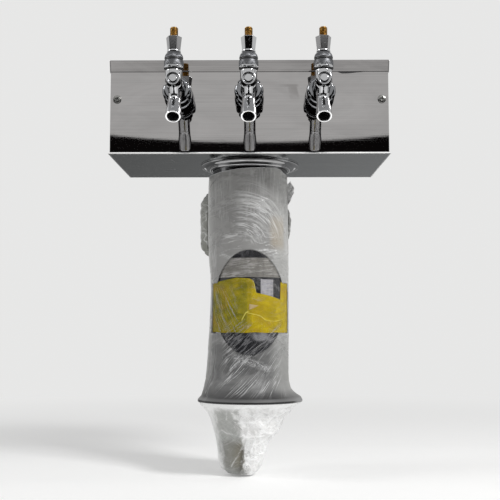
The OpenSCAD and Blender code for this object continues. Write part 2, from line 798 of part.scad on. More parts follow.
module plunger() color("silver") {
    difference() {
        union() {
            rod_y(plunger_r, plunger_front, plunger_step);
            rod_y(stub_r, 0, plunger_end);
            intersection() {
                rod_y(guide_r, guide_y, guide_y + guide_t);
                translate([-guide_flat_w / 2, guide_y - cut, -guide_flat_w / 2])
                    cube([guide_flat_w, guide_t + 2 * cut, guide_flat_w]);
            }
            translate([-post_w / 2, -post_half, 0]) cube([post_w, 2 * post_half, post_top]);
        }
        translate([-post_w, -fork_half, post_top - fork_depth])
            cube([2 * post_w, 2 * fork_half, fork_depth + cut]);
    }
    difference() {
        hex_y(washer_nut_r, plunger_step + washer_t, plunger_step + washer_t + washer_nut_t);
        rod_y(stub_r + thread, 0, plunger_end + cut);
    }
}

module seat_washer() color([0.1, 0.1, 0.1])
    ring_y(washer_r, stub_r + thread, plunger_step, plunger_step + washer_t);

floor_plate();
head_shell();
front_panel();
head_lid();
sheet_screws();
clip_nuts();
head_liner();
column_tube();
collar();
backing_ring();
head_bolts();
column_foam();
base_flange();
badge();
tape_band();
film_wrap();
rear_bundle();
film_tuft();
tail_bag();
shanks();
shank_flanges();
jam_nuts();
coupling_gaskets();
front_plugs();
ball_seats();
friction_rings();
tailpieces();
tail_nuts();
hose_clamps();
for (i = [0 : 2]) {
    at_tap(i) faucet_body();
    at_tap(i) coupling_nut();
    at_tap(i) bonnet();
    at_tap(i) dome_nut();
    at_tap(i) lever();
    at_tap(i) ferrule();
    at_tap(i) stud();
    at_tap(i) plunger();
    at_tap(i) seat_washer();
    beer_line(i);
}
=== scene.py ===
"""Three-tap draught tower, still in its packing film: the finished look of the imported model."""

import json
import logging
import math
import random
from dataclasses import dataclass, field
from enum import Enum
from functools import reduce
from typing import Any, Callable, Iterable, Optional, Sequence

import bmesh
import bpy
import numpy as np
from mathutils import Matrix, Vector, noise

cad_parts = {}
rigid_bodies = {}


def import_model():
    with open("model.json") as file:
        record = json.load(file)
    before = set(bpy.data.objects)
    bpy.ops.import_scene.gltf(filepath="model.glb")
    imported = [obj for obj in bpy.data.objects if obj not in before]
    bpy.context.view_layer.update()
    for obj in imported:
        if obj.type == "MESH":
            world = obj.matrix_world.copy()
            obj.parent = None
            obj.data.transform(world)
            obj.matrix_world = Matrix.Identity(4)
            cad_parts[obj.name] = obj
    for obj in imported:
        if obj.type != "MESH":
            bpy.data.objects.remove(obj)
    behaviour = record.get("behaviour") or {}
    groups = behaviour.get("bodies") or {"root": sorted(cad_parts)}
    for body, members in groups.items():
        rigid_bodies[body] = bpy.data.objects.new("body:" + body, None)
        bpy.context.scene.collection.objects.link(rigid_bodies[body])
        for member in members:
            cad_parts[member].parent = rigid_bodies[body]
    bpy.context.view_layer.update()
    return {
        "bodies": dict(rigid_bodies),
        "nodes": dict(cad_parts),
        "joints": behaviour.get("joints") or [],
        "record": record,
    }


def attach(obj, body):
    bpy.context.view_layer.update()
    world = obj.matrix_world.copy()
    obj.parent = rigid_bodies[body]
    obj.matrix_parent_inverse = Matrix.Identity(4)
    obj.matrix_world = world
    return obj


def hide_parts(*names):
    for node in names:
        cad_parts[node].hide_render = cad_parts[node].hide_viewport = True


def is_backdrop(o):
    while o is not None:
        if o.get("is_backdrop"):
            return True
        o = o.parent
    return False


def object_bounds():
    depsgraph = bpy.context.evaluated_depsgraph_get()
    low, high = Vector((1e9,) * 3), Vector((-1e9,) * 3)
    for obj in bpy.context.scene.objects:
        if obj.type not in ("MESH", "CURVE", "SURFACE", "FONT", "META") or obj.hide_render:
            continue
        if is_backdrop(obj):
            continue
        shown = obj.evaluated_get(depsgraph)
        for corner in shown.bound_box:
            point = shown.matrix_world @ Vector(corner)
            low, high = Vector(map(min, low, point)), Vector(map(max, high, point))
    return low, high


LOG = logging.getLogger("draught_tower")
MM = 0.001
TAPS = ("left", "middle", "right")
TAP_PITCH = 88.9

Point = tuple[float, float]
Colour = tuple[float, float, float]
Bounds = tuple[float, float, float]
HairRow = tuple[tuple[float, ...], Bounds, Bounds, float]
Warp = Callable[[Vector], Vector]


def at(x: float = 0.0, y: float = 0.0, z: float = 0.0) -> Matrix:
    """Return the matrix that moves a shape to a place, in millimetres."""
    return Matrix.Translation((x, y, z))


def along_y() -> Matrix:
    """Return the turn that lays a shape's own axis along +Y."""
    return Matrix.Rotation(math.radians(-90), 4, "X")


def blend_step(value: float, low: float, high: float) -> float:
    """Return a smooth step from 0 at low to 1 at high, which may lie below low."""
    share = min(1.0, max(0.0, (value - low) / (high - low)))
    return share * share * (3 - 2 * share)


def follow(table: Sequence[Point], value: float) -> float:
    """Read a table of (place, value) pairs in rising order, held at both ends."""
    return float(np.interp(value, [p[0] for p in table], [p[1] for p in table]))


def gap_to(spot: Vector, start: Vector, end: Vector) -> float:
    """Measure how far a spot lies from a straight stretch.

    Args:
        spot: The spot.
        start: One end of the stretch.
        end: Its other end.

    Returns:
        The distance.
    """
    line = end - start
    share = min(1.0, max(0.0, (spot - start).dot(line) / line.length_squared))
    return (spot - start - line * share).length


def between(value: float, start: float, full: float, fade: float, end: float) -> float:
    """Return 1 from full to fade, and 0 before start and after end."""
    return blend_step(value, start, full) * blend_step(value, end, fade)


def rough_at(x: float, y: float, z: float) -> float:
    """Return smooth noise from -1 to 1 at a spot."""
    return noise.noise(Vector((x, y, z)))


def on_round(reach: float, turn: float, z: float) -> Vector:
    """Return the point at a reach from the column's axis, turned in degrees from the front."""
    a = math.radians(turn)
    return Vector((reach * math.sin(a), -reach * math.cos(a), z))


def scaled(tone: Colour, share: float, lift: float = 0.0) -> Colour:
    """Return a colour times a share, plus a lift."""
    return tuple(c * share + lift for c in tone)


def radial(p: Vector) -> Vector:
    """Return the direction away from the column's axis."""
    return Vector((p.x, p.y, 0.0))


def add_object(name: str, data: Any) -> bpy.types.Object:
    """Put an object into the scene.

    Args:
        name: Its name.
        data: Its mesh, lamp or camera data.

    Returns:
        The object.
    """
    made = bpy.data.objects.new(name, data)
    bpy.context.collection.objects.link(made)
    return made


class Shape:
    """A mesh being made, in millimetres of the part's frame."""

    def __init__(self) -> None:
        """Start with an empty mesh."""
        self.bm = bmesh.new()

    def _since(self, before: set[bmesh.types.BMVert]) -> list[bmesh.types.BMVert]:
        """Return the vertices that weren't there before."""
        return [v for v in self.bm.verts if v not in before]

    def lathe(self, profile: Sequence[Point], place: Optional[Matrix] = None, steps: int = 64,
              ripple: float = 0.0, rows: tuple[float, float] = (0.0, 0.0)) -> "Shape":
        """Spin a profile full circle round its axis.

        Args:
            profile: (radius, height) points along the profile.
            place: Where the spun shape goes; its own axis is Z.
            steps: How many steps the full circle has.
            ripple: Depth of a straight knurl cut into the outside.
            rows: Lowest and highest height of the knurl.

        Returns:
            This shape.
        """
        before = set(self.bm.verts)
        rows_reach = max((r for r, z in profile if rows[0] < z < rows[1]), default=0.0)
        line = [self.bm.verts.new((r, 0.0, z)) for r, z in profile]
        edges = [self.bm.edges.new(pair) for pair in zip(line, line[1:])]
        bmesh.ops.spin(self.bm, geom=[*line, *edges], cent=(0, 0, 0), axis=(0, 0, 1),
                       dvec=(0, 0, 0), angle=math.tau, steps=steps, use_merge=True,
                       use_duplicate=False)
        made = self._since(before)
        if ripple:
            for v in made:
                turn = round(math.atan2(v.co.y, v.co.x) / math.tau * steps)
                if turn % 2 and rows[0] < v.co.z < rows[1]:
                    reach = v.co.xy.length
                    v.co.xy *= (reach - ripple) / reach
            for face in {f for v in made for f in v.link_faces}:
                middle = face.calc_center_median()
                if rows[0] < middle.z < rows[1] and middle.xy.length > 0.9 * rows_reach:
                    face.material_index = 1
        bmesh.ops.remove_doubles(self.bm, verts=made, dist=0.001)
        made = self._since(before)
        if place is not None:
            bmesh.ops.transform(self.bm, matrix=place, verts=made)
        return self

    def block(self, low: Sequence[float], high: Sequence[float]) -> "Shape":
        """Add a box between two corners.

        Args:
            low: Its lowest corner.
            high: Its highest corner.

        Returns:
            This shape.
        """
        size = [h - l for l, h in zip(low, high)]
        middle = [(h + l) / 2 for l, h in zip(low, high)]
        bmesh.ops.create_cube(self.bm, size=1.0,
                              matrix=at(*middle) @ Matrix.Diagonal((*size, 1.0)))
        return self

    def rod(self, radius: float, start: Sequence[float], end: Sequence[float]) -> "Shape":
        """Add a closed round bar between two points.

        Args:
            radius: Its radius.
            start: The start of its axis.
            end: The end of its axis.

        Returns:
            This shape.
        """
        a, b = Vector(start), Vector(end)
        turn = (b - a).to_track_quat("Z", "Y").to_matrix().to_4x4()
        bmesh.ops.create_cone(self.bm, cap_ends=True, segments=48, radius1=radius, radius2=radius,
                              depth=(b - a).length, matrix=Matrix.Translation((a + b) / 2) @ turn)
        return self

    def ball(self, radius: float, place: Sequence[float]) -> "Shape":
        """Add a ball, and return this shape."""
        bmesh.ops.create_uvsphere(self.bm, u_segments=48, v_segments=32, radius=radius,
                                  matrix=Matrix.Translation(place))
        return self

    def net(self, columns: int, rows: int) -> "Shape":
        """Add a flat grid from 0 to 1 in X and in Y, ready to be warped, and return it."""
        bmesh.ops.create_grid(self.bm, x_segments=columns, y_segments=rows, size=0.5,
                              matrix=at(0.5, 0.5))
        return self

    def bevel(self, width: float, segments: int = 3, angle: float = 30.0,
              where: Optional[Callable[[bmesh.types.BMEdge], bool]] = None) -> "Shape":
        """Round the sharp edges.

        Args:
            width: Width of the round.
            segments: Faces across it.
            angle: An edge is sharp where its faces turn by more than this, in degrees.
            where: Picks the edges, where not every sharp one is meant.

        Returns:
            This shape.
        """
        bmesh.ops.recalc_face_normals(self.bm, faces=self.bm.faces)
        edges = [e for e in self.bm.edges if len(e.link_faces) == 2
                 and e.calc_face_angle(0.0) > math.radians(angle)
                 and (where is None or where(e))]
        bmesh.ops.bevel(self.bm, geom=edges, offset=width, offset_type="OFFSET",
                        segments=segments, profile=0.5, affect="EDGES", material=-1,
                        clamp_overlap=True)
        return self

    def put(self, place: Matrix) -> "Shape":
        """Move the whole shape by a matrix, and return it."""
        bmesh.ops.transform(self.bm, matrix=place, verts=self.bm.verts)
        return self

    def warp(self, rule: Warp) -> "Shape":
        """Move every vertex by a rule.

        Args:
            rule: Gives the new place of a vertex.

        Returns:
            This shape.
        """
        for v in self.bm.verts:
            v.co = rule(v.co)
        return self

    def soften(self, rounds: int) -> "Shape":
        """Smooth every vertex.

        Args:
            rounds: How many times.

        Returns:
            This shape.
        """
        for _ in range(rounds):
            bmesh.ops.smooth_vert(self.bm, verts=self.bm.verts, factor=0.5, use_axis_x=True,
                                  use_axis_y=True, use_axis_z=True)
        return self

    def fuse(self, voxel: float, rounds: int) -> "Shape":
        """Grow everything into one skin, as a casting is, and smooth it.

        Args:
            voxel: Size of the remesh's cells.
            rounds: Smoothing rounds afterwards.

        Returns:
            This shape.
        """
        mesh = bpy.data.meshes.new("casting")
        bmesh.ops.recalc_face_normals(self.bm, faces=self.bm.faces)
        self.bm.to_mesh(mesh)
        rough = add_object("casting", mesh)
        remesh = rough.modifiers.new("skin", "REMESH")
        remesh.mode, remesh.voxel_size, remesh.use_smooth_shade = "VOXEL", voxel, True
        ready = rough.evaluated_get(bpy.context.evaluated_depsgraph_get())
        self.bm.clear()
        self.bm.from_mesh(ready.to_mesh())
        ready.to_mesh_clear()
        bpy.data.objects.remove(rough)
        bpy.data.meshes.remove(mesh)
        return self.soften(rounds)

    def piece(self, name: str, look: "Look", body: str = "tower", stands_for: Iterable[str] = (),
              sharp: float = 35.0, outward: Optional[Warp] = None,
              marks: Optional[dict[str, list[Any]]] = None,
              extra: Sequence["Look"] = (), flats: bool = False) -> bpy.types.Object:
        """Make the finished object of this shape and join it to the model.

        Args:
            name: The piece's name.
            look: Its finish.
            body: The body that it rides on.
            stands_for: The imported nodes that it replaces.
            sharp: Edges that turn by more than this stay crisp, in degrees.
            outward: For an open sheet, gives the outward direction at a point.
            marks: A number or vector for each vertex, by attribute name.
            extra: Further finishes, for faces with a material index above 0.
            flats: Whether large flat faces keep their own shading beside small rounds.

        Returns:
            The object.
        """
        if marks is None:
            bmesh.ops.remove_doubles(self.bm, verts=self.bm.verts, dist=0.0005)
        bmesh.ops.recalc_face_normals(self.bm, faces=self.bm.faces)
        if outward is not None:
            lean = sum(f.normal.dot(outward(f.calc_center_median())) for f in self.bm.faces)
            if lean < 0:
                bmesh.ops.reverse_faces(self.bm, faces=self.bm.faces)
        for face in self.bm.faces:
            face.smooth = True
        for edge in self.bm.edges:
            edge.smooth = not (len(edge.link_faces) == 2
                               and edge.calc_face_angle(0.0) > math.radians(sharp))
        self.bm.verts.index_update()
        bmesh.ops.transform(self.bm, matrix=Matrix.Scale(MM, 4), verts=self.bm.verts)
        mesh = bpy.data.meshes.new(name)
        self.bm.to_mesh(mesh)
        self.bm.free()
        for key, column in (marks or {}).items():
            values = np.array(column)
            kind, slot = ("FLOAT", "value") if values.ndim == 1 else ("FLOAT_VECTOR", "vector")
            mesh.attributes.new(key, kind, "POINT").data.foreach_set(slot, values.ravel())
        for each in (look, *extra):
            mesh.materials.append(each.value.material())
        made = add_object(name, mesh)
        if flats:
            made.modifiers.new("flats", "WEIGHTED_NORMAL").keep_sharp = True
        nodes = list(stands_for)
        if nodes:
            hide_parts(*nodes)
        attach(made, body)
        return made


class Signal:
    """One output of a shader node, which takes part in Python arithmetic."""

    def __init__(self, net: "Net", socket: Optional[bpy.types.NodeSocket]) -> None:
        """Keep the net and the socket."""
        self.net, self.socket = net, socket

    def _math(self, operation: str, *values: Any) -> "Signal":
        """Add a Math node on these values."""
        return self.net.add("ShaderNodeMath", {"operation": operation}, dict(enumerate(values)))

    def __add__(self, other: Any) -> "Signal":
        """Return the sum."""
        return self._math("ADD", self, other)

    __radd__ = __add__

    def __sub__(self, other: Any) -> "Signal":
        """Return the difference."""
        return self._math("SUBTRACT", self, other)

    def __rsub__(self, other: Any) -> "Signal":
        """Return the other value less this one."""
        return self._math("SUBTRACT", other, self)

    def __mul__(self, other: Any) -> "Signal":
        """Return the product."""
        return self._math("MULTIPLY", self, other)

    __rmul__ = __mul__

    def __abs__(self) -> "Signal":
        """Return the size of the value."""
        return self._math("ABSOLUTE", self)

    def either(self, other: Any) -> "Signal":
        """Return the larger of two values."""
        return self._math("MAXIMUM", self, other)

    def both(self, other: Any) -> "Signal":
        """Return the smaller of two values."""
        return self._math("MINIMUM", self, other)

    def step(self, low: float, high: float, start: float = 0.0, end: float = 1.0) -> "Signal":
        """Map this value smoothly, from start below low to end above high."""
        return self.net.add("ShaderNodeMapRange", {"interpolation_type": "SMOOTHSTEP"},
                            {"Value": self, "From Min": low, "From Max": high, "To Min": start,
                             "To Max": end})

    def fall(self, low: float, high: float) -> "Signal":
        """Return 1 below low, falling smoothly to 0 at high."""
        return self.step(low, high, 1.0, 0.0)


class Net:
    """The node net of one material or of the world."""

    def __init__(self, tree: bpy.types.NodeTree) -> None:
        """Start from an empty tree."""
        self.tree = tree
        tree.nodes.clear()

    def add(self, kind: str, settings: Optional[dict[str, Any]] = None,
            inputs: Optional[dict[Any, Any]] = None, output: Any = 0) -> Signal:
        """Add one node.

        Args:
            kind: The node's type.
            settings: Its properties.
            inputs: Values or signals for its sockets, by name or number.
            output: The output that is given back, by name or number.

        Returns:
            That output.
        """
        made = self.tree.nodes.new(kind)
        for key, value in (settings or {}).items():
            setattr(made, key, value)
        for key, value in (inputs or {}).items():
            socket = made.inputs[key]
            if isinstance(value, Signal):
                self.tree.links.new(value.socket, socket)
            elif isinstance(value, tuple) and socket.type == "RGBA":
                socket.default_value = (*value, 1.0)
            else:
                socket.default_value = value
        return Signal(self, made.outputs[output] if len(made.outputs) else None)

    def place(self) -> Signal:
        """Return the Object coordinates."""
        return self.add("ShaderNodeTexCoord", output="Object")

    def across_up(self) -> tuple[Signal, Signal]:
        """Return the X and Z of the Object coordinates."""
        spot = self.place()
        return self.part(spot, "X"), self.part(spot, "Z")

    def pair(self, first: Signal, second: Signal) -> Signal:
        """Return two values as a flat vector."""
        return self.add("ShaderNodeCombineXYZ", inputs={0: first, 1: second, 2: 0.0})

    def largest(self, *values: Signal) -> Signal:
        """Return the largest of several values."""
        return reduce(Signal.either, values)

    def part(self, vector: Signal, axis: str) -> Signal:
        """Return one axis of a vector."""
        return self.add("ShaderNodeSeparateXYZ", inputs={0: vector}, output=axis)

    def mark(self, name: str) -> Signal:
        """Return a number attribute of the mesh."""
        return self.add("ShaderNodeAttribute", {"attribute_name": name}, output="Fac")

    def grain(self, scale: Sequence[float], detail: float = 3.0, rough: float = 0.55,
              twist: float = 0.0, vector: Optional[Signal] = None) -> Signal:
        """Return noise of about 0.5; its scale is in cells per metre along X, Y and Z."""
        spread = self.add("ShaderNodeMapping", {"vector_type": "POINT"},
                          {"Vector": vector or self.place(), "Scale": tuple(scale)})
        return self.add("ShaderNodeTexNoise", {"noise_dimensions": "3D"},
                        {"Vector": spread, "Scale": 1.0, "Detail": detail, "Roughness": rough,
                         "Distortion": twist})

    def lay(self, name: str) -> Signal:
        """Return a vector attribute of the mesh."""
        return self.add("ShaderNodeAttribute", {"attribute_name": name}, output="Vector")

    def hairs(self, vector: Signal, turn: float, run: float, gap: float, thin: float,
              seed: float = 0.0, wander: float = 0.25, bare: float = 0.44) -> Signal:
        """Return fine crease lines that run one way over a surface.

        Args:
            vector: Coordinates on the surface, in metres.
            turn: Direction of the lines, in degrees from the first axis.
            run: Length of a line, in metres.
            gap: Distance between lines, in metres.
            thin: Share of the surface that isn't line, from 0 to 1.
            seed: Moves the pattern.
            wander: How far the lines waver.
            bare: How much of the surface has no lines at all, from 0.3 to 0.6.

        Returns:
            1 on a line, 0 beside it.
        """
        spread = self.add("ShaderNodeMapping", {"vector_type": "TEXTURE"},
                          {"Vector": vector, "Location": (seed, seed * 0.7, 0.0),
                           "Rotation": (0.0, 0.0, math.radians(turn)),
                           "Scale": (run, gap, 1.0)})
        cloud = self.add("ShaderNodeTexNoise", {"noise_dimensions": "3D"},
                         {"Vector": spread, "Scale": 1.0, "Detail": 2.0, "Roughness": 0.5,
                          "Distortion": wander})
        patch = self.grain((0.6, 0.24, 1.0), 2.0, 0.5, 0.3, spread)
        return (1.0 - abs(cloud - 0.5) * 12.0).step(thin, 1.0) * patch.step(bare, bare + 0.14)

    def window(self, value: Signal, low: float, high: float, soft: float) -> Signal:
        """Return 1 between two bounds and 0 outside, with ends of a given softness."""
        return (value.step(low - soft, low + soft)
                * value.fall(high - soft, high + soft))

    def tint(self, share: Any, first: Any, second: Any) -> Signal:
        """Return the first colour with a share of the second in it."""
        return self.add("ShaderNodeMix", {"data_type": "RGBA", "blend_type": "MIX",
                                          "clamp_factor": True},
                        {0: share, 6: first, 7: second}, output=2)

    def coat(self, base: Any, *coats: tuple[Signal, Any]) -> Any:
        """Lay coats of (share, colour) over a colour, one after the other, and return it."""
        return reduce(lambda tone, one: self.tint(one[0], tone, one[1]), coats, base)

    def bump(self, height: Signal, strength: float, depth: float) -> Signal:
        """Return the normal of a height pattern, with its depth in metres."""
        return self.add("ShaderNodeBump",
                        inputs={"Strength": strength, "Distance": depth, "Height": height})

    def surface(self, **sockets: Any) -> None:
        """Finish the net with one Principled shader; spaces in socket names are underscores."""
        shader = self.add("ShaderNodeBsdfPrincipled",
                          inputs={k.replace("_", " "): v for k, v in sockets.items()})
        self.add("ShaderNodeOutputMaterial", inputs={"Surface": shader})


def blank_material(name: str) -> tuple[bpy.types.Material, Net]:
    """Make a material without nodes.

    Args:
        name: Its name.

    Returns:
        The material and its empty net.
    """
    made = bpy.data.materials.new(name)
    made.use_nodes = True
    return made, Net(made.node_tree)


FINISHED: dict["Finish", bpy.types.Material] = {}


@dataclass(frozen=True)
class Finish:
    """A material, named for the record's slot that it finishes."""

    slot: str = "chrome"

    def material(self) -> bpy.types.Material:
        """Return the material, made once for each finish."""
        if self not in FINISHED:
            FINISHED[self], net = blank_material(f"{type(self).__name__}_{self.slot}")
            self.dress(net)
        return FINISHED[self]

    def dress(self, net: Net) -> None:
        """Build the nodes."""
        raise NotImplementedError


@dataclass(frozen=True)
class SheetSteel(Finish):
    """Stainless sheet with polishing lines along its length."""

    slot: str = "panel_steel"
    tone: Colour = (0.405, 0.395, 0.392)
    rough: float = 0.055
    lines: float = 1500.0
    contrast: float = 0.16
    smears: float = 0.10
    smudged: bool = False

    def dress(self, net: Net) -> None:
        """Lines run along X, with broad smears over them.

        Args:
            net: The material's empty net.
        """
        fine = net.grain((5.0, self.lines, self.lines), 4.0, 0.6)
        broad = net.grain((9.0, 30.0, 30.0), 4.0, 0.6, 1.2)
        shade = (fine - 0.5) * self.contrast + (broad - 0.5) * self.smears + 0.5
        scuffs = net.grain((40.0, 160.0, 420.0), 5.0, 0.7, 0.6).step(0.60, 0.72)
        shown = net.tint(shade, scaled(self.tone, 0.62), scaled(self.tone, 1.38))
        if self.smudged:
            x, z = net.across_up()
            bar = net.window(x, 0.038, 0.062, 0.003) * net.window(z, 0.4017, 0.4053, 0.001)
            drip = (net.window(x + (z - 0.4035) * 0.20, 0.0490, 0.0605, 0.0015)
                    * net.window(z, 0.3870, 0.4045, 0.003))
            shown = net.tint(bar.either(drip) * broad.step(0.3, 0.6) * 0.5, shown,
                             (0.20, 0.19, 0.185))
        net.surface(Base_Color=shown,
                    Metallic=1.0,
                    Roughness=self.rough + (fine - 0.5) * self.rough + scuffs * self.rough * 1.6,
                    Normal=net.bump(fine, 0.06, 0.00004))


@dataclass(frozen=True)
class Chrome(Finish):
    """Bright plating with faint finger marks and water spots."""

    slot: str = "chrome"
    tone: Colour = (0.53, 0.535, 0.545)
    rough: float = 0.03

    def dress(self, net: Net) -> None:
        """Smudges roughen and dim the plating a little.

        Args:
            net: The material's empty net.
        """
        smudge = net.grain((90.0, 90.0, 90.0), 5.0, 0.65, 0.8).step(0.48, 0.72)
        spots = net.grain((600.0, 600.0, 600.0), 2.0, 0.5).step(0.66, 0.72)
        net.surface(Base_Color=net.tint(smudge, self.tone, scaled(self.tone, 0.86)),
                    Metallic=1.0,
                    Roughness=self.rough + smudge * 0.05 + spots * 0.12,
                    Normal=net.bump(smudge, 0.04, 0.00005))


@dataclass(frozen=True)
class ThreadBrass(Finish):
    """Bare turned brass, darker in its grooves."""

    slot: str = "brass"
    tone: Colour = (0.46, 0.27, 0.07)

    def dress(self, net: Net) -> None:
        """Tarnish comes in blotches.

        Args:
            net: The material's empty net.
        """
        tarnish = net.grain((260.0, 260.0, 420.0), 4.0, 0.6, 0.5)
        dark = (0.15, 0.075, 0.016)
        net.surface(Base_Color=net.tint(tarnish.step(0.35, 0.7), self.tone, dark),
                    Metallic=0.9,
                    Roughness=0.24 + tarnish * 0.22,
                    Normal=net.bump(tarnish, 0.12, 0.0001))


@dataclass(frozen=True)
class Moulded(Finish):
    """A plain moulded or cast material with a fine grain: rubber, plastic, foam or zinc."""

    slot: str = "black_rubber"
    tone: Colour = (0.012, 0.012, 0.013)
    rough: float = 0.45
    metal: float = 0.0
    grains: float = 900.0
    depth: float = 0.0001

    def dress(self, net: Net) -> None:
        """Grain and slight mottling.

        Args:
            net: The material's empty net.
        """
        fine = net.grain((self.grains,) * 3, 4.0, 0.6)
        broad = net.grain((self.grains / 18,) * 3, 3.0, 0.5)
        net.surface(Base_Color=net.tint(broad * 0.6 + fine * 0.4, scaled(self.tone, 0.7),
                                        scaled(self.tone, 1.35, 0.004)),
                    Metallic=self.metal,
                    Roughness=self.rough + (fine - 0.5) * 0.2,
                    Normal=net.bump(fine, 0.3, self.depth))


@dataclass(frozen=True)
class BadgeEnamel(Finish):
    """The badge's face: black enamel with plain bright bands in it."""

    slot: str = "badge_black"
    band_z: Point = (0.1600, 0.1850)
    stripe_x: Point = (0.0142, 0.0305)
    stripe_z: Point = (0.0960, 0.1572)
    edge: float = 0.0004

    def _inside(self, value: Signal, bounds: Point) -> Signal:
        """Return 1 between two bounds, with the crisp edge of a print."""
        low, high = bounds
        return value.step(low, low + self.edge) * value.fall(high, high + self.edge)

    def dress(self, net: Net) -> None:
        """Bands lie by height and by distance from the middle.

        Args:
            net: The material's empty net.
        """
        x, z = net.across_up()
        band = self._inside(z, self.band_z)
        stripe = self._inside(abs(x), self.stripe_x) * self._inside(z, self.stripe_z)
        wear_and_sheen = net.grain((140.0, 140.0, 60.0), 5.0, 0.65, 0.6)
        metal = band.either(stripe)
        dull = net.tint(wear_and_sheen.step(0.3, 0.75), (0.150, 0.143, 0.130), (0.240, 0.229, 0.208))
        clear = net.tint(wear_and_sheen.step(0.3, 0.75), (0.25, 0.245, 0.265), (0.46, 0.45, 0.49))
        silver = net.tint(stripe, dull, clear)
        flat = net.pair(x, z)
        streaks = net.hairs(flat, 42.0, 0.030, 0.0052, 0.1, 21.0, 0.1, 0.36) * z.step(0.090, 0.086)
        patch = (net.window(x + z * 0.9, 0.078, 0.102, 0.005) * z.step(0.076, 0.080)
                 * z.step(0.090, 0.0885) * wear_and_sheen.step(0.25, 0.6))
        mottles = z.step(0.184, 0.186) * wear_and_sheen.step(0.45, 0.70) * 0.4
        # Painted sheen on the black enamel: light streaks, a grey patch and mottles.
        sheen = (streaks * 0.6).either(patch).either(mottles)
        field = net.tint(sheen, (0.008, 0.008, 0.011), (0.21, 0.21, 0.22))
        wisps = net.hairs(flat, 6.0, 0.030, 0.0040, 0.2, 23.0, 0.3, 0.38) * 0.5
        silver = net.tint(wisps, silver, (0.50, 0.49, 0.48))
        net.surface(Base_Color=net.tint(metal, field, silver),
                    Metallic=metal * 0.3,
                    Roughness=0.24 + metal * 0.2 + wear_and_sheen * 0.15,
                    Normal=net.bump(metal, 0.5, 0.0001))


@dataclass(frozen=True)
class YellowTape(Finish):
    """Thin yellow packing tape, with a painted highlight on its ridges, and brownish in the folds.
    """

    slot: str = "band_yellow"

    def dress(self, net: Net) -> None:
        """The mesh marks say where the ridges and the doubled layers are.

        Args:
            net: The material's empty net.
        """
        ridge, layer = net.mark("ridge"), net.mark("layer")
        mottle = net.grain((60.0, 60.0, 90.0), 5.0, 0.65, 0.9)
        tawny = net.grain((24.0, 24.0, 40.0), 3.0, 0.6, 0.6).step(0.48, 0.68)
        single = net.tint(mottle.step(0.3, 0.7), (0.31, 0.230, 0.0004), (0.49, 0.37, 0.0008))
        double = net.tint(mottle.step(0.3, 0.7), (0.135, 0.125, 0.0004), (0.30, 0.25, 0.0008))
        thin = net.tint(tawny * 0.7, net.tint(layer, single, double), (0.36, 0.235, 0.0004))
        # Painted highlight: the fold ridges are tinted bright yellow.
        lit = net.tint(ridge.step(0.25, 0.9) * 0.75, thin, (0.90, 0.80, 0.16))
        fine = net.grain((500.0, 500.0, 160.0), 4.0, 0.6)
        net.surface(Base_Color=lit, Roughness=0.42 + mottle * 0.15, Specular_IOR_Level=0.12,
                    Normal=net.bump(mottle * 0.7 + fine * 0.3, 0.5, 0.0008))


@dataclass(frozen=True)
class KraftBack(Finish):
    """The dull tan back of the tape, where a corner has turned over."""

    slot: str = "band_yellow"

    def dress(self, net: Net) -> None:
        """Fibres run across it."""
        fibre = net.grain((300.0, 300.0, 900.0), 4.0, 0.6)
        net.surface(Base_Color=net.tint(fibre, (0.30, 0.20, 0.06), (0.56, 0.42, 0.20)),
                    Roughness=0.6 + fibre * 0.2, Normal=net.bump(fibre, 0.3, 0.0002))


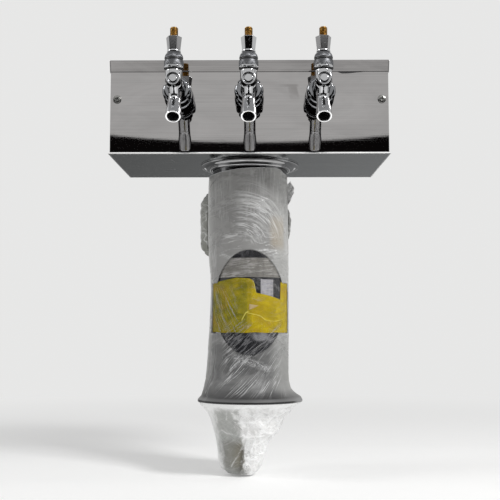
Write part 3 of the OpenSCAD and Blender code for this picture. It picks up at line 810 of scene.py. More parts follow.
@dataclass(frozen=True)
class StretchFilm(Finish):
    """Layers of stretch film: milky where many lie together, white along each crease, which is
    partly the doubled film and partly a painted highlight.

    A row of crease lines holds the numbers that Net.hairs takes, the two windows that the lines
    show in, each as (low, high, softness), and their weight.
    """

    slot: str = "film"
    haze_low: float = 0.012
    haze_high: float = 0.97
    fan_centre: tuple[float, float, float] = (-0.016, 0.196, 0.0)
    fan: tuple[HairRow, ...] = (
        ((0.0, 0.080, 0.0048, 0.40, 0.0, 0.2, 0.40), (0.0, 1.25, 0.20), (0.022, 0.088, 0.008),
         1.0),
        ((7.0, 0.040, 0.0040, 0.30, 4.0, 0.6), (-0.15, 1.15, 0.20), (0.026, 0.075, 0.008), 0.8))
    straight: tuple[HairRow, ...] = (
        ((-6.0, 0.030, 0.0060, 0.35, 3.0, 0.5), (-0.036, 0.044, 0.010), (0.186, 0.222, 0.008),
         0.8),
        ((-61.0, 0.120, 0.0036, 0.15, 5.0, 0.05, 0.30), (-0.054, -0.016, 0.004),
         (0.088, 0.150, 0.004), 0.8),
        ((-24.0, 0.030, 0.0040, 0.3, 7.0, 0.1, 0.40), (0.002, 0.046, 0.003),
         (0.128, 0.160, 0.003), 0.7),
        ((38.0, 0.060, 0.0042, 0.20, 9.0, 0.1, 0.40), (-0.036, 0.045, 0.006),
         (0.058, 0.104, 0.006), 0.8),
        ((50.0, 0.060, 0.0026, 0.40, 11.0, 0.05, 0.42), (-0.038, 0.046, 0.008),
         (0.010, 0.062, 0.007), 0.9))

    @staticmethod
    def _families(net: Net, vector: Signal, across: Signal, up: Signal,
                  rows: Sequence[HairRow]) -> Signal:
        """Draw the crease lines of a table.

        Args:
            net: The material's net.
            vector: Coordinates that the lines run in.
            across: What a row's first window is measured in.
            up: What its second window is measured in.
            rows: The table.

        Returns:
            The strongest line at each spot.
        """
        return net.largest(*(net.hairs(vector, *hair) * net.window(across, *span)
                             * net.window(up, *rise) * weight
                             for hair, span, rise, weight in rows))

    def _lines(self, net: Net, flat: Signal, s: Signal, z: Signal) -> Signal:
        """Draw all the fine lines of the film; their white is partly the creased film and partly a
        painted highlight, and the crest and glints are painted highlights.

        Args:
            net: The material's net.
            flat: The film's own coordinates.
            s: Distance along the girth from the front.
            z: Height.

        Returns:
            1 on a strong line, 0 beside all of them.
        """
        away = net.add("ShaderNodeVectorMath", {"operation": "SUBTRACT"},
                       {0: flat, 1: self.fan_centre})
        ring = net.add("ShaderNodeVectorMath", {"operation": "LENGTH"}, {0: away}, "Value")
        turn = net.add("ShaderNodeMath", {"operation": "ARCTAN2"},
                       {0: net.part(away, "X"), 1: net.part(away, "Y")})
        edge = (net.hairs(flat, 86.0, 0.050, 0.0080, 0.35, 13.0, 0.3)
                * (1.0 - net.window(s, -0.050, 0.050, 0.006)))
        brushed = net.hairs(flat, 88.0, 0.060, 0.0050, 0.2, 19.0, 0.3) * z.step(0.225, 0.245)
        faint = net.hairs(flat, 14.0, 0.050, 0.0080, 0.35, 17.0, 0.6) * z.step(0.05, 0.09)
        # Painted highlights: a band of crest glints and scattered glints low on the film.
        crest = (net.grain((240.0, 520.0, 1.0), 4.0, 0.7, 1.5, flat).step(0.44, 0.60)
                 * net.window(z + s * 0.32, 0.0465, 0.0550, 0.0030)
                 * net.window(s, -0.023, 0.028, 0.006))
        glints = (net.grain((170.0, 120.0, 1.0), 3.0, 0.6, 0.5, flat).step(0.64, 0.70)
                  * net.window(s, -0.040, 0.040, 0.006) * net.window(z, 0.022, 0.062, 0.006))
        return net.largest(
            self._families(net, net.pair(turn * 0.05, ring), turn, ring, self.fan),
            self._families(net, flat, s, z, self.straight),
            edge * 0.5, faint * 0.30, brushed * 0.34, glints * 0.5, crest * 0.85)

    def dress(self, net: Net) -> None:
        """The mesh marks say how many layers lie there and where the big creases are.

        Args:
            net: The material's empty net.
        """
        haze, crease, warm = net.mark("haze"), net.mark("crease"), net.mark("warm")
        flat = net.lay("flat")
        s, z = net.part(flat, "X"), net.part(flat, "Y")
        cloud = net.grain((30.0, 30.0, 50.0), 5.0, 0.62, 0.8)
        fine = net.grain((260.0, 260.0, 900.0), 4.0, 0.65, 0.4)
        lines = self._lines(net, flat, s, z)
        milk = net.tint(cloud.step(0.25, 0.75), (0.232, 0.230, 0.225), (0.278, 0.275, 0.268))
        murk = net.tint(cloud.step(0.3, 0.7), (0.084, 0.084, 0.084), (0.160, 0.160, 0.158))
        tone = net.coat(
            milk,
            (z.fall(0.060, 0.110), murk),
            # Painted light: lighter towards the right, where the key lamp falls; and paler towards
            # both edges, where the film is seen edge-on.
            (s.step(0.020, 0.050) * 0.50, (0.44, 0.44, 0.425)),
            (abs(s).step(0.054, 0.078) * 0.75, (0.36, 0.36, 0.345)),
            # The dark foot over the flange is painted shade, left off along a pale strip, and the
            # black line of the hem is a painted shadow where the film folds under.
            (z.fall(0.004, 0.020) * (0.55 + abs(s).step(0.07, 0.02) * 0.40),
             (0.030, 0.029, 0.030)),
            (z.fall(0.0026, 0.0062) * (0.35 + abs(s).step(0.035, 0.075) * 0.6),
             (0.24, 0.24, 0.24)),
            (z.fall(0.0006, 0.0014) * net.window(s, -0.070, 0.052, 0.006),
             (0.006, 0.006, 0.006)),
            (warm, (0.36, 0.28, 0.17)),
            # The crease lines and big creases turn white: partly the doubled film, partly a painted
            # highlight.
            (lines * 0.55, (0.78, 0.78, 0.78)),
            (crease.step(0.15, 0.80) * 0.9, (0.76, 0.765, 0.77)))
        cover = (haze * (self.haze_high - self.haze_low) + self.haze_low
                 + (fine - 0.5) * 0.03)
        net.surface(Base_Color=tone,
                    Alpha=cover.either(crease.step(0.15, 0.90) * 0.75).either(lines * 0.42)
                    .either(0.0).both(1.0),
                    Roughness=0.22 + cloud * 0.12 + z.step(0.010, 0.060, 0.26, 0.0),
                    Normal=net.bump(fine * 0.3 + cloud * 0.4 + lines * 0.5, 0.45, 0.0006))


@dataclass(frozen=True)
class CrumpledFilm(Finish):
    """Bunched film: white where it is thick, greenish grey where it hangs thin."""

    slot: str = "film_thick"
    split: float = -0.015
    thin_tone: Colour = (0.33, 0.335, 0.32)
    thick_low: Colour = (0.66, 0.655, 0.65)
    thick_high: Colour = (0.88, 0.88, 0.875)
    veins: float = 1.0
    rim: float = 0.0

    def dress(self, net: Net) -> None:
        """The right side is thick and creased, with painted shade between its crumples and painted
        highlights along its creases; the left side shows its darker inside.

        Args:
            net: The material's empty net.
        """
        crease, haze = net.mark("crease"), net.mark("haze")
        x, z = net.across_up()
        cloud = net.grain((60.0, 60.0, 60.0), 5.0, 0.65, 1.0)
        fine = net.grain((520.0, 520.0, 520.0), 4.0, 0.6, 0.5)
        side = (x + (cloud - 0.5) * 0.042
                + z.step(-0.052, -0.040, -0.008, 0.0)).step(self.split - 0.006, self.split + 0.006)
        flat = net.pair(x, z)
        lines = net.hairs(flat, -38.0, 0.030, 0.0030, 0.35, 2.0, 0.5).either(
            net.hairs(flat, 30.0, 0.022, 0.0034, 0.45, 6.0, 0.6))
        glow = scaled(self.thin_tone, 1.5)
        top = z.step(-0.016, -0.006) * z.fall(-0.0001, 0.0001)
        olive = (net.window(x, -0.034, -0.004, 0.006) * net.window(z, -0.086, -0.052, 0.008)
                 * (0.35 + x.step(-0.030, -0.010) * 0.65))
        thin = net.coat(
            self.thin_tone,
            (z.fall(-0.058, -0.040), scaled(self.thin_tone, 0.64)),
            (x.fall(-0.052, -0.036) * 0.8, glow),
            (cloud.step(0.3, 0.7) * 0.35, glow),
            (top * 0.6, self.thick_low),
            (olive, tuple(c * t for c, t in zip(self.thin_tone, (0.50, 0.46, 0.36)))))
        rich = net.tint(cloud.step(0.3, 0.7), self.thick_low, self.thick_high)
        # Painted shade: dark specks between the crumples, mostly on the thick side.
        crumple_shade = net.grain((420.0, 420.0, 420.0), 3.0, 0.7, 1.5).step(0.50, 0.64)
        blur = (cloud - 0.5) * 0.014
        rim = (x + z * 0.17 + blur).fall(-0.0545, -0.0440)
        rim = (rim + (z + blur).step(-0.0130, -0.0030)).both(1.0)
        rim = rim * x.step(0.075, 0.070) * z.step(0.0, -0.0002)
        stroke = net.mark("stroke")
        # Where the haze mark is low the film goes dark brown; on the bag that is painted shade in
        # its groove.
        tone = net.coat(
            net.tint(haze, (0.12, 0.108, 0.085), net.tint(side, thin, rich)),
            (crumple_shade * (side * 0.34 + 0.05), (0.42, 0.415, 0.40)),
            (rim * self.rim, (0.90, 0.90, 0.895)),
            # Painted highlights, partly the folded film itself: crease lines, crumple ridges and
            # drawn strokes go white.
            (lines * (side * 0.5 + 0.12) * self.veins, (0.97, 0.97, 0.97)),
            (crease.step(0.45, 1.0) * (side * 0.45 + 0.22) * self.veins, (0.95, 0.955, 0.96)),
            (stroke * cloud.step(0.30, 0.62) * 0.5, (0.96, 0.96, 0.96)))
        net.surface(Base_Color=tone, Roughness=0.22 + cloud * 0.16,
                    Normal=net.bump(fine * 0.2 + cloud * 0.5 + lines * 0.4 + stroke * 0.8, 0.5,
                                    0.0009))


class Look(Enum):
    """All the finishes."""

    BOX = SheetSteel("box_steel", (0.36, 0.357, 0.355), 0.24, 900.0, 0.16, 0.10)
    PANEL = SheetSteel(rough=0.02, contrast=0.50, smears=0.50, smudged=True)
    LID = SheetSteel("box_steel", (0.335, 0.325, 0.322), 0.035, 700.0, 0.90, 0.90)
    FLOOR = SheetSteel("box_steel", (0.42, 0.43, 0.43), 0.12, 260.0, 0.55, 0.10)
    # Nearly white steel on the hem: a painted highlight along the box's bottom edge.
    HEM = SheetSteel("box_steel", (0.95, 0.945, 0.94), 0.20, 420.0, 0.10, 0.10)
    # Knurled rows: rougher chrome, darkened as painted shade in the knurl's grooves.
    KNURL = Chrome("chrome", (0.115, 0.117, 0.123), 0.40)
    # Chrome darkened as painted shade, for the coupling nut, shank flange and dome nut.
    NUT = Chrome("chrome", (0.235, 0.24, 0.25), 0.04)
    COLLAR = Chrome("chrome", (0.42, 0.42, 0.425), 0.012)
    SLEEVE = Chrome("chrome", (0.34, 0.34, 0.345), 0.20)
    # Nearly white chrome on the spout's mouth rim: a painted highlight.
    RIM = Chrome("chrome", (0.93, 0.93, 0.93), 0.10)
    ZINC = Moulded("zinc_steel", (0.24, 0.24, 0.23), 0.35, 1.0)
    FOAM = Moulded("foam", (0.62, 0.55, 0.36), 0.9, 0.0, 500.0, 0.0006)
    COLUMN = Chrome("column_chrome", (0.30, 0.30, 0.305), 0.05)
    CHROME = Chrome("chrome")
    SHANK = Chrome("shank_chrome", (0.60, 0.605, 0.61), 0.06)
    FLANGE = SheetSteel("column_chrome", (0.20, 0.20, 0.20), 0.25, 600.0, 0.2, 0.2)
    RUBBER = Moulded("black_rubber")
    SEAT = Moulded("seat_white", (0.72, 0.72, 0.70), 0.4)
    BRASS = ThreadBrass()
    PLUNGER = SheetSteel("plunger_steel", (0.5, 0.49, 0.48), 0.2, 700.0, 0.1, 0.1)
    HOSE = Moulded("hose", (0.66, 0.67, 0.66), 0.25, 0.0, 300.0, 0.0002)
    BADGE = BadgeEnamel()
    TAPE = YellowTape()
    KRAFT = KraftBack()
    FILM = StretchFilm()
    BAG = CrumpledFilm(thick_low=(0.72, 0.715, 0.71), thick_high=(0.92, 0.92, 0.915), rim=0.85)
    BUNDLE = CrumpledFilm("film", 0.2, (0.175, 0.18, 0.165), veins=2.2)
    TUFT = CrumpledFilm("film", 0.2, (0.56, 0.56, 0.56), veins=2.0)


@dataclass
class Studio:
    """Camera, lamps, world, floor and the black cards that chrome needs around it."""

    camera_place: tuple[float, float, float] = (0.010874, -1.192627, 0.086640)
    camera_turn: tuple[float, float, float] = (95.43, 0.0, 0.516)
    lens: float = 63.76
    floor_z: float = -0.0986
    pale: Colour = (0.80, 0.80, 0.795)
    fill: float = 0.42

    def build(self) -> None:
        """Make everything that isn't part of the object."""
        scene = bpy.context.scene
        scene.view_settings.view_transform = "Standard"
        self._camera(scene)
        self._world()
        self._floor()
        self._cards()
        self._lamps()
        LOG.info("studio: camera, world, floor, cards and lamps")

    def _camera(self, scene: bpy.types.Scene) -> None:
        """Make the camera at the photograph's viewing angle.

        Args:
            scene: The scene that it films.
        """
        data = bpy.data.cameras.new("camera")
        data.lens, data.sensor_width, data.sensor_fit = self.lens, 36.0, "AUTO"
        data.clip_start, data.clip_end = 0.01, 60.0
        eye = add_object("camera", data)
        eye.location = self.camera_place
        eye.rotation_euler = [math.radians(a) for a in self.camera_turn]
        scene.camera = eye

    def _seen(self, net: Net) -> Signal:
        """Tell the rays apart.

        Args:
            net: The net to work in.

        Returns:
            1 for a ray that looks at the background, in sight, mirror or glass.
        """
        camera = net.add("ShaderNodeLightPath", output="Is Camera Ray")
        glossy = Signal(net, camera.socket.node.outputs["Is Glossy Ray"])
        glass = Signal(net, camera.socket.node.outputs["Is Transmission Ray"])
        return camera.either(glossy).either(glass)

    def _world(self) -> None:
        """Pale where it is seen, soft fill where it lights."""
        world = bpy.data.worlds.new("studio")
        bpy.context.scene.world = world
        world.use_nodes = True
        net = Net(world.node_tree)
        light = net.add("ShaderNodeBackground", inputs={"Color": (1.0, 1.0, 1.0),
                                                        "Strength": self.fill})
        pale = net.add("ShaderNodeBackground", inputs={"Color": self.pale, "Strength": 1.0})
        mixed = net.add("ShaderNodeMixShader", inputs={0: self._seen(net), 1: light, 2: pale})
        net.add("ShaderNodeOutputWorld", inputs={"Surface": mixed})

    def _floor(self) -> None:
        """A wide pale floor that turns into the world's colour far off."""
        material, net = blank_material("studio_floor")
        far = net.add("ShaderNodeVectorMath", {"operation": "LENGTH"}, {0: net.place()}, "Value")
        near = net.add("ShaderNodeBsdfPrincipled", inputs={
            "Base Color": (0.80, 0.80, 0.795), "Roughness": 0.9, "Specular IOR Level": 0.1,
            "Emission Color": (1.0, 1.0, 0.995), "Emission Strength": 0.20})
        glow = net.add("ShaderNodeEmission", inputs={"Color": self.pale, "Strength": 1.0})
        mixed = net.add("ShaderNodeMixShader",
                        inputs={0: far.step(0.35, 1.6) * self._seen(net), 1: near, 2: glow})
        net.add("ShaderNodeOutputMaterial", inputs={"Surface": mixed})
        shape = bmesh.new()
        bmesh.ops.create_circle(shape, cap_ends=True, segments=96, radius=9.0,
                                matrix=Matrix.Translation((0, 0, self.floor_z)))
        self._stage_piece("floor", shape, material)

    def _stage_piece(self, name: str, shape: bmesh.types.BMesh,
                     material: bpy.types.Material) -> bpy.types.Object:
        """Make an object of the stage.

        Args:
            name: Its name.
            shape: Its mesh, in metres.
            material: Its material.

        Returns:
            The object.
        """
        mesh = bpy.data.meshes.new(name)
        shape.to_mesh(mesh)
        shape.free()
        mesh.materials.append(material)
        made = add_object(name, mesh)
        made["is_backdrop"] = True
        return made

    def _cards(self) -> None:
        """Cards that only mirrors see: dark in front, grey behind and above, and two white."""
        black = self._card_tone("studio_black_card", (0.006, 0.005, 0.005), (0.006, 0.005, 0.005))

        def low_front(p: Vector) -> Vector:
            """Give the front card its curved top edge.

            Args:
                p: A point of the shape.

            Returns:
                Its new place.
            """
            x = (p.x - 0.5) * 9.0
            top = 0.7495 + 0.104 * min(abs(x), 2.4) ** 2
            return Vector((x, -2.0, self.floor_z + p.y * (top - self.floor_z)))

        def flat(x: float, near: float, far: float, low: float, high: float) -> Warp:
            """Return the rule that stretches a net into a flat card, wide by 2 x."""
            return lambda p: Vector(((p.x - 0.5) * 2 * x, near + p.y * (far - near),
                                     low + p.y * (high - low)))

        ground = self.floor_z + 0.002
        grey = self._card_tone("studio_grey_card", (0.130, 0.132, 0.132), (0.235, 0.238, 0.240))
        dull = self._card_tone("studio_dull_card", (0.40, 0.40, 0.405), (0.40, 0.40, 0.405))
        white = self._card_tone("studio_white_card", (1.35, 1.35, 1.35), (1.35, 1.35, 1.35))
        for name, rule, tone in (("card_front", low_front, black),
                                 ("card_floor", flat(2.5, -2.0, -0.35, ground, ground), black),
                                 ("card_back", flat(3.5, 0.30, 6.0, ground, ground), grey),
                                 ("card_bounce", flat(0.30, -0.33, -0.06, ground, ground), white),
                                 ("card_strip", flat(1.5, -1.30, -1.25, 1.52, 2.10), white),
                                 ("card_top", flat(2.0, -1.20, 1.8, 2.30, 2.60), dull)):
            shape = Shape().net(48, 4).warp(rule)
            card = self._stage_piece(name, shape.bm, tone)
            for ray in ("camera", "diffuse", "transmission", "volume_scatter", "shadow"):
                setattr(card, f"visible_{ray}", False)

    def _card_tone(self, name: str, left: Colour, right: Colour) -> bpy.types.Material:
        """Return a glowing card material that changes from left to right.

        Args:
            name: Its name.
            left: Its colour on the left.
            right: Its colour on the right.

        Returns:
            The material.
        """
        made, net = blank_material(name)
        across = net.part(net.place(), "X")
        glow = net.add("ShaderNodeEmission", inputs={
            "Color": net.tint(across.step(-0.6, 0.6), left, right), "Strength": 1.0})
        net.add("ShaderNodeOutputMaterial", inputs={"Surface": glow})
        return made

    def _lamps(self) -> None:
        """A key from the upper right in front and a weak one from the left."""
        for name, place, aim, size, power in (
                ("key", (1.3, -1.3, 1.6), (0.0, 0.0, 0.12), (0.55, 0.55), 36.0),
                ("rim", (-1.6, -0.4, 1.2), (0.0, 0.0, 0.15), (0.5, 0.5), 6.0)):
            data = bpy.data.lights.new(name, "AREA")
            data.shape, data.size, data.size_y, data.energy = "RECTANGLE", *size, power
            lamp = add_object(name, data)
            lamp.location = place
            aim_line = Vector(aim) - Vector(place)
            lamp.rotation_euler = aim_line.to_track_quat("-Z", "Y").to_euler()


@dataclass
class HeadBox:
    """The sheet-metal box: floor, shell, front panel, lid and its screws."""

    half_width: float = 177.8
    front: float = -83.5
    back: float = 83.5
    taper: float = 3.6
    floor_z: float = 314.7
    top_z: float = 437.0
    lip: float = 15.3
    lid_out: float = 1.8
    lip_tuck: float = 0.62
    hem_out: float = 1.9
    sheet: float = 1.2
    line_way: float = 42.0
    screws: tuple[tuple[float, float, float, float], ...] = (
        (-169.2, -83.5, 385.6, 0.0), (169.2, -83.5, 385.6, 0.0),
        (-147.8, 85.3, 429.35, 180.0), (147.8, 85.3, 429.35, 180.0))

    def build(self) -> None:
        """Build and dress the whole box."""
        self._lid()
        self._floor()
        self._screws()
        self._seal()
        LOG.info("head box: lid, floor, hem, screws and shade_strip")

    def _corners(self, grow: float) -> list[Point]:
        """Return the box's outline, grown outwards."""
        return [(-self.half_width - grow, self.front - grow),
                (self.half_width + grow, self.front - grow),
                (self.half_width - self.taper + grow, self.back + grow),
                (-self.half_width + self.taper - grow, self.back + grow)]

    def _lid(self) -> None:
        """Fold the lid: a top with a lip all round and soft bends."""
        out = self.half_width + self.lid_out
        shape = Shape().block((-out, self.front - self.lid_out, self.top_z - self.lip),
                              (out, self.back + self.lid_out, self.top_z))
        bm = shape.bm
        below = [f for f in bm.faces if f.normal.z < -0.9]
        bmesh.ops.delete(bm, geom=below, context="FACES_ONLY")
        top = self.top_z - 0.01
        shape.bevel(1.6, 4, where=lambda e: all(v.co.z > top for v in e.verts)
                    or abs(e.verts[0].co.z - e.verts[1].co.z) > 5)
        bmesh.ops.recalc_face_normals(bm, faces=bm.faces)
        if sum(f.normal.z * f.calc_area() for f in bm.faces) < 0:
            bmesh.ops.reverse_faces(bm, faces=bm.faces)
        bmesh.ops.solidify(bm, geom=bm.faces, thickness=self.sheet - 0.1)

        def tuck(p: Vector) -> Vector:
            """Lean the lip in towards its lower edge.

            Args:
                p: A point of the shape.

            Returns:
                Its new place.
            """
            share = min(1.0, max(0.0, (top - 1.6 - p.z) / (self.lip - 1.6)))
            for axis, edge in ((0, self.half_width), (1, self.back)):
                if abs(p[axis]) > edge - 1.0:
                    p[axis] -= math.copysign(self.lip_tuck * share, p[axis])
            return p

        shape.warp(tuck).piece("lid", Look.LID, stands_for=["head_lid"], sharp=50, flats=True)

    def _floor(self) -> None:
        """Make the floor with its line way, and the rounded hem round its edge."""
        shape = Shape()
        bm = shape.bm
        outer = [bm.verts.new((x, y, self.floor_z)) for x, y in self._corners(self.hem_out - 1.0)]
        edges = [bm.edges.new((outer[i - 1], outer[i])) for i in range(4)]
        ring = bmesh.ops.create_circle(bm, cap_ends=False, segments=64, radius=self.line_way,
                                       matrix=at(0, 0, self.floor_z))["verts"]
        edges += list({e for v in ring for e in v.link_edges})
        bmesh.ops.triangle_fill(bm, edges=edges, use_beauty=True)
        lifted = bmesh.ops.extrude_face_region(bm, geom=list(bm.faces))["geom"]
        bmesh.ops.translate(bm, vec=(0, 0, self.sheet),
                            verts=[v for v in lifted if isinstance(v, bmesh.types.BMVert)])
        shape.piece("floor_sheet", Look.FLOOR, stands_for=["floor_plate"])

        hem = Shape()
        bm = hem.bm
        section = [(0.15, -0.05), (1.5, -0.05), (1.82, 0.08), (1.9, 0.3), (1.25, 2.15), (1.0, 2.4),
                   (0.4, 2.5), (0.15, 2.45)]
        loops = []
        for grow, height in section:
            verts = [bm.verts.new((x, y, self.floor_z + height)) for x, y in self._corners(grow)]
            loops.append([bm.edges.new((verts[i - 1], verts[i])) for i in range(4)])
        for low, high in zip(loops, loops[1:] + loops[:1]):
            bmesh.ops.bridge_loops(bm, edges=low + high)
        hem.piece("floor_hem", Look.HEM, sharp=60)

    def _screws(self) -> None:
        """Turn four pan-head screws with a cross recess."""
        head, height, recess = 5.35, 2.4, 2.5
        profile = [(0.0, -height)] + [(0.28 * k, -height) for k in range(1, 10)]
        profile += [(head * 0.62, -height * 0.96), (head * 0.84, -height * 0.78),
                    (head * 0.97, -height * 0.42), (head, 0.0), (2.1, 0.0), (2.1, 8.0), (0.0, 8.0)]

        def cross(p: Vector) -> Vector:
            """Press the cross into the head's top.

            Args:
                p: A point of the shape.

            Returns:
                Its new place.
            """
            if p.z > -height * 0.9:
                return p
            wide, long = sorted((abs(p.x), abs(p.y)))
            if wide < 0.55 and long < recess:
                p.z += 1.3 * (1 - long / recess * 0.5)
            return p

        whole = Shape()
        for x, y, z, turn in self.screws:
            flip = Matrix.Rotation(math.radians(turn), 4, "Z") @ along_y()
            spin = Matrix.Rotation(math.radians(20 + x), 4, "Z")
            one = Shape().lathe(profile, steps=48).warp(cross).put(at(x, y, z) @ flip @ spin)
            keep = bpy.data.meshes.new("screw")
            one.bm.to_mesh(keep)
            one.bm.free()
            whole.bm.from_mesh(keep)
            bpy.data.meshes.remove(keep)
        whole.piece("screws", Look.ZINC, stands_for=["sheet_screws"], sharp=30)

    def _seal(self) -> None:
        """Let the end of a black strip peep out under the lid's lip, as a painted shadow in the gap
        there.
        """
        edge = self.top_z - self.lip

        def hang(p: Vector) -> Vector:
            """Taper the strip towards its left end.

            Args:
                p: A point of the shape.

            Returns:
                Its new place.
            """
            x = 111.0 + 34.0 * p.x
            drop = 2.3 * blend_step(p.x, 0.0, 0.25) * (1 - 0.75 * blend_step(p.x, 0.35, 1.0))
            return Vector((x, self.front - 0.1 - 0.5 * p.z, edge + 1.5 - (drop + 1.5) * (1 - p.y)))

        shape = Shape().net(40, 6)
        bmesh.ops.solidify(shape.bm, geom=shape.bm.faces, thickness=-1.0)
        shape.warp(hang).piece("lid_seal", Look.RUBBER)


@dataclass
class Column:
    """The tube with its collar and base flange, the badge and the yellow tape round it."""

    radius: float = 50.0
    wall: float = 1.5
    foot: float = 3.2
    head: float = 314.7
    collar_r: float = 66.4
    collar_h: float = 8.0
    bead: float = 2.2
    badge_w: float = 92.6
    badge_h: float = 137.0
    badge_z: float = 127.5
    tape_r: float = 51.15
    tape_low: float = 88.6
    tape_half: float = 130.0
    tape_top: tuple[Point, ...] = (
        (-130, 152.5), (-75, 153.0), (-58.6, 154.0), (-18.4, 159.6), (-0.1, 158.3), (5.5, 155.5),
        (7.6, 150.3), (9.5, 139.9), (30, 136.4), (51.0, 131.4), (52.0, 154.6), (69.0, 155.6),
        (130, 155.0))
    folds: tuple[tuple[float, float, float, float, float], ...] = (
        (-1.0, 157.5, -2.4, 136.0, 0.35), (-2.4, 136.0, -1.8, 116.0, 0.35),
        (-1.8, 116.0, -5.2, 114.5, 0.8), (-5.2, 114.5, -11.0, 105.0, 0.9),
        (-11.0, 105.0, -12.0, 97.0, 0.5), (-5.2, 114.5, 4.0, 112.6, 0.8),
        (4.0, 112.6, 15.4, 110.1, 0.8), (15.4, 110.1, 23.6, 104.4, 0.8),
        (23.6, 104.4, 40.0, 103.2, 0.6), (40.0, 103.2, 60.0, 106.5, 0.6),
        (5.5, 155.5, 9.5, 139.9, 0.7), (9.5, 139.9, 51.0, 131.4, 0.5),
        (9.5, 139.0, 2.0, 131.0, 0.5), (-58.0, 147.0, -30.0, 123.0, 0.5),
        (-30.0, 123.0, -14.0, 100.0, 0.45), (-56.0, 150.0, -22.0, 118.0, 0.35),
        (-60.0, 140.0, -33.0, 101.0, 0.45), (-62.0, 131.0, -45.0, 98.0, 0.35),
        (-63.0, 149.0, -24.0, 128.0, 0.3), (20.0, 133.0, 28.0, 120.0, 0.3),
        (28.0, 128.0, 47.0, 118.0, 0.3), (52.0, 131.0, 53.5, 92.0, 0.5),
        (-9.0, 151.0, -6.5, 128.0, 0.35), (30.0, 96.0, 52.0, 93.0, 0.35))

    def build(self) -> None:
        """Build and dress the column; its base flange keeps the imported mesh."""
        self._tube()
        self._collar()
        self._badge()
        self._tape()
        LOG.info("column: tube, collar, badge and tape")

    def _tube(self) -> None:
        """Spin the tube."""
        r, inner = self.radius, self.radius - self.wall
        Shape().lathe([(inner, self.foot), (r, self.foot), (r, self.head), (inner, self.head),
                       (inner, self.foot)], steps=160).piece(
            "tube", Look.COLUMN, stands_for=["column_tube"])

    def _collar(self) -> None:
        """Spin the domed collar with its bead."""
        r0, r1, top = self.radius + 0.05, self.collar_r, self.head
        profile = [(r0, top), (r1 - 0.5, top), (r1 - 0.15, top - 0.15), (r1, top - 0.5),
                   (r1, top - 1.7), (r1 - 0.2, top - 2.2), (r1 - 0.8, top - 2.4)]
        for k in range(1, 29):
            share = k / 28
            profile.append((r1 - 0.8 - (r1 - r0 - 5.2) * share,
                            top - 2.4 - 2.5 * blend_step(share, 0.26, 0.64)))
        for k in range(13):
            lean = math.radians(25 - k * 205 / 12)
            profile.append((r0 + self.bead + self.bead * math.cos(lean),
                            top - self.collar_h + self.bead + self.bead * math.sin(lean)))
        profile.append((r0, top))
        Shape().lathe(profile, steps=160).piece("collar_dome", Look.COLLAR,
                                                stands_for=["collar"])

    def _badge(self) -> None:
        """Press the oval badge: a thin plate, curved to the tube."""
        profile = [(0.0, 0.0), (1.0, 0.0), (1.0, 0.6)]
        profile += [(1.0 - k / 26, 0.6) for k in range(1, 27)]

        def press(p: Vector) -> Vector:
            """Bend the flat oval round the tube.

            Args:
                p: A point of the shape.

            Returns:
                Its new place.
            """
            x = p.x * self.badge_w / 2
            reach = self.radius + 0.15 + p.z * 0.85
            return Vector((x, -math.sqrt(reach * reach - x * x),
                           self.badge_z + p.y * self.badge_h / 2))

        Shape().lathe(profile, steps=120).warp(press).piece(
            "badge_plate", Look.BADGE, stands_for=["badge"], sharp=60)

    def _tape(self) -> None:
        """Wrap the yellow tape, with its turned-down corner, folds and creases."""
        columns, rows = 330, 92
        shape = Shape().net(columns, rows)
        across = self.radius * math.pi / 180
        folds = [(Vector((a * across, b)), Vector((c * across, d)), power)
                 for a, b, c, d, power in self.folds]
        ridge, layer = [], []
        for v in shape.bm.verts:
            turn = -self.tape_half + 2 * self.tape_half * v.co.x
            low = self.tape_low + 0.9 * blend_step(turn, -30, -80) + 0.35 * math.sin(turn * 0.19)
            z = low + (follow(self.tape_top, turn) - low) * v.co.y
            spot = Vector((turn * across, z))
            lift = 0.0
            for start, end, power in folds:
                gap = gap_to(spot, start, end)
                if gap < 3.0:
                    lift = max(lift, power * math.exp(-(gap / 0.58) ** 2))
            over = blend_step(turn, -3.4, -4.4) + 0.5 * blend_step(turn, 4.5, 1.5)
            wave = rough_at(spot.x * 0.09, spot.y * 0.06, 3.0)
            small = abs(rough_at(spot.x * 0.25, spot.y * 0.19, 9.0))
            reach = self.tape_r + 0.12 + lift * 0.75 + 0.28 * over + 0.16 * wave + 0.14 * small
            v.co = on_round(reach, turn, z)
            ridge.append(lift)
            layer.append(min(1.0, over))
        shape.bm.verts.index_update()
        band = shape.piece("tape", Look.TAPE, stands_for=["tape_band"], sharp=80,
                           outward=radial, marks={"ridge": ridge, "layer": layer})

        corner = Shape().net(14, 14)
        corners = [(-0.4, 125.4), (13.0, 123.4), (-0.4, 117.6)]

        def turned(p: Vector) -> Vector:
            """Fold the little corner over the tape.

            Args:
                p: A point of the shape.

            Returns:
                Its new place.
            """
            side = [c0 + (c1 - c0) * p.x for c0, c1 in zip(corners[0], corners[1])]
            spot = [s + (c2 - s) * p.y for s, c2 in zip(side, corners[2])]
            reach = self.tape_r + 0.85 + 0.25 * math.sin(p.x * 3)
            return on_round(reach, *spot)

        corner.warp(turned)
        bmesh.ops.remove_doubles(corner.bm, verts=corner.bm.verts, dist=0.01)
        corner.piece("tape_corner", Look.KRAFT, outward=radial)


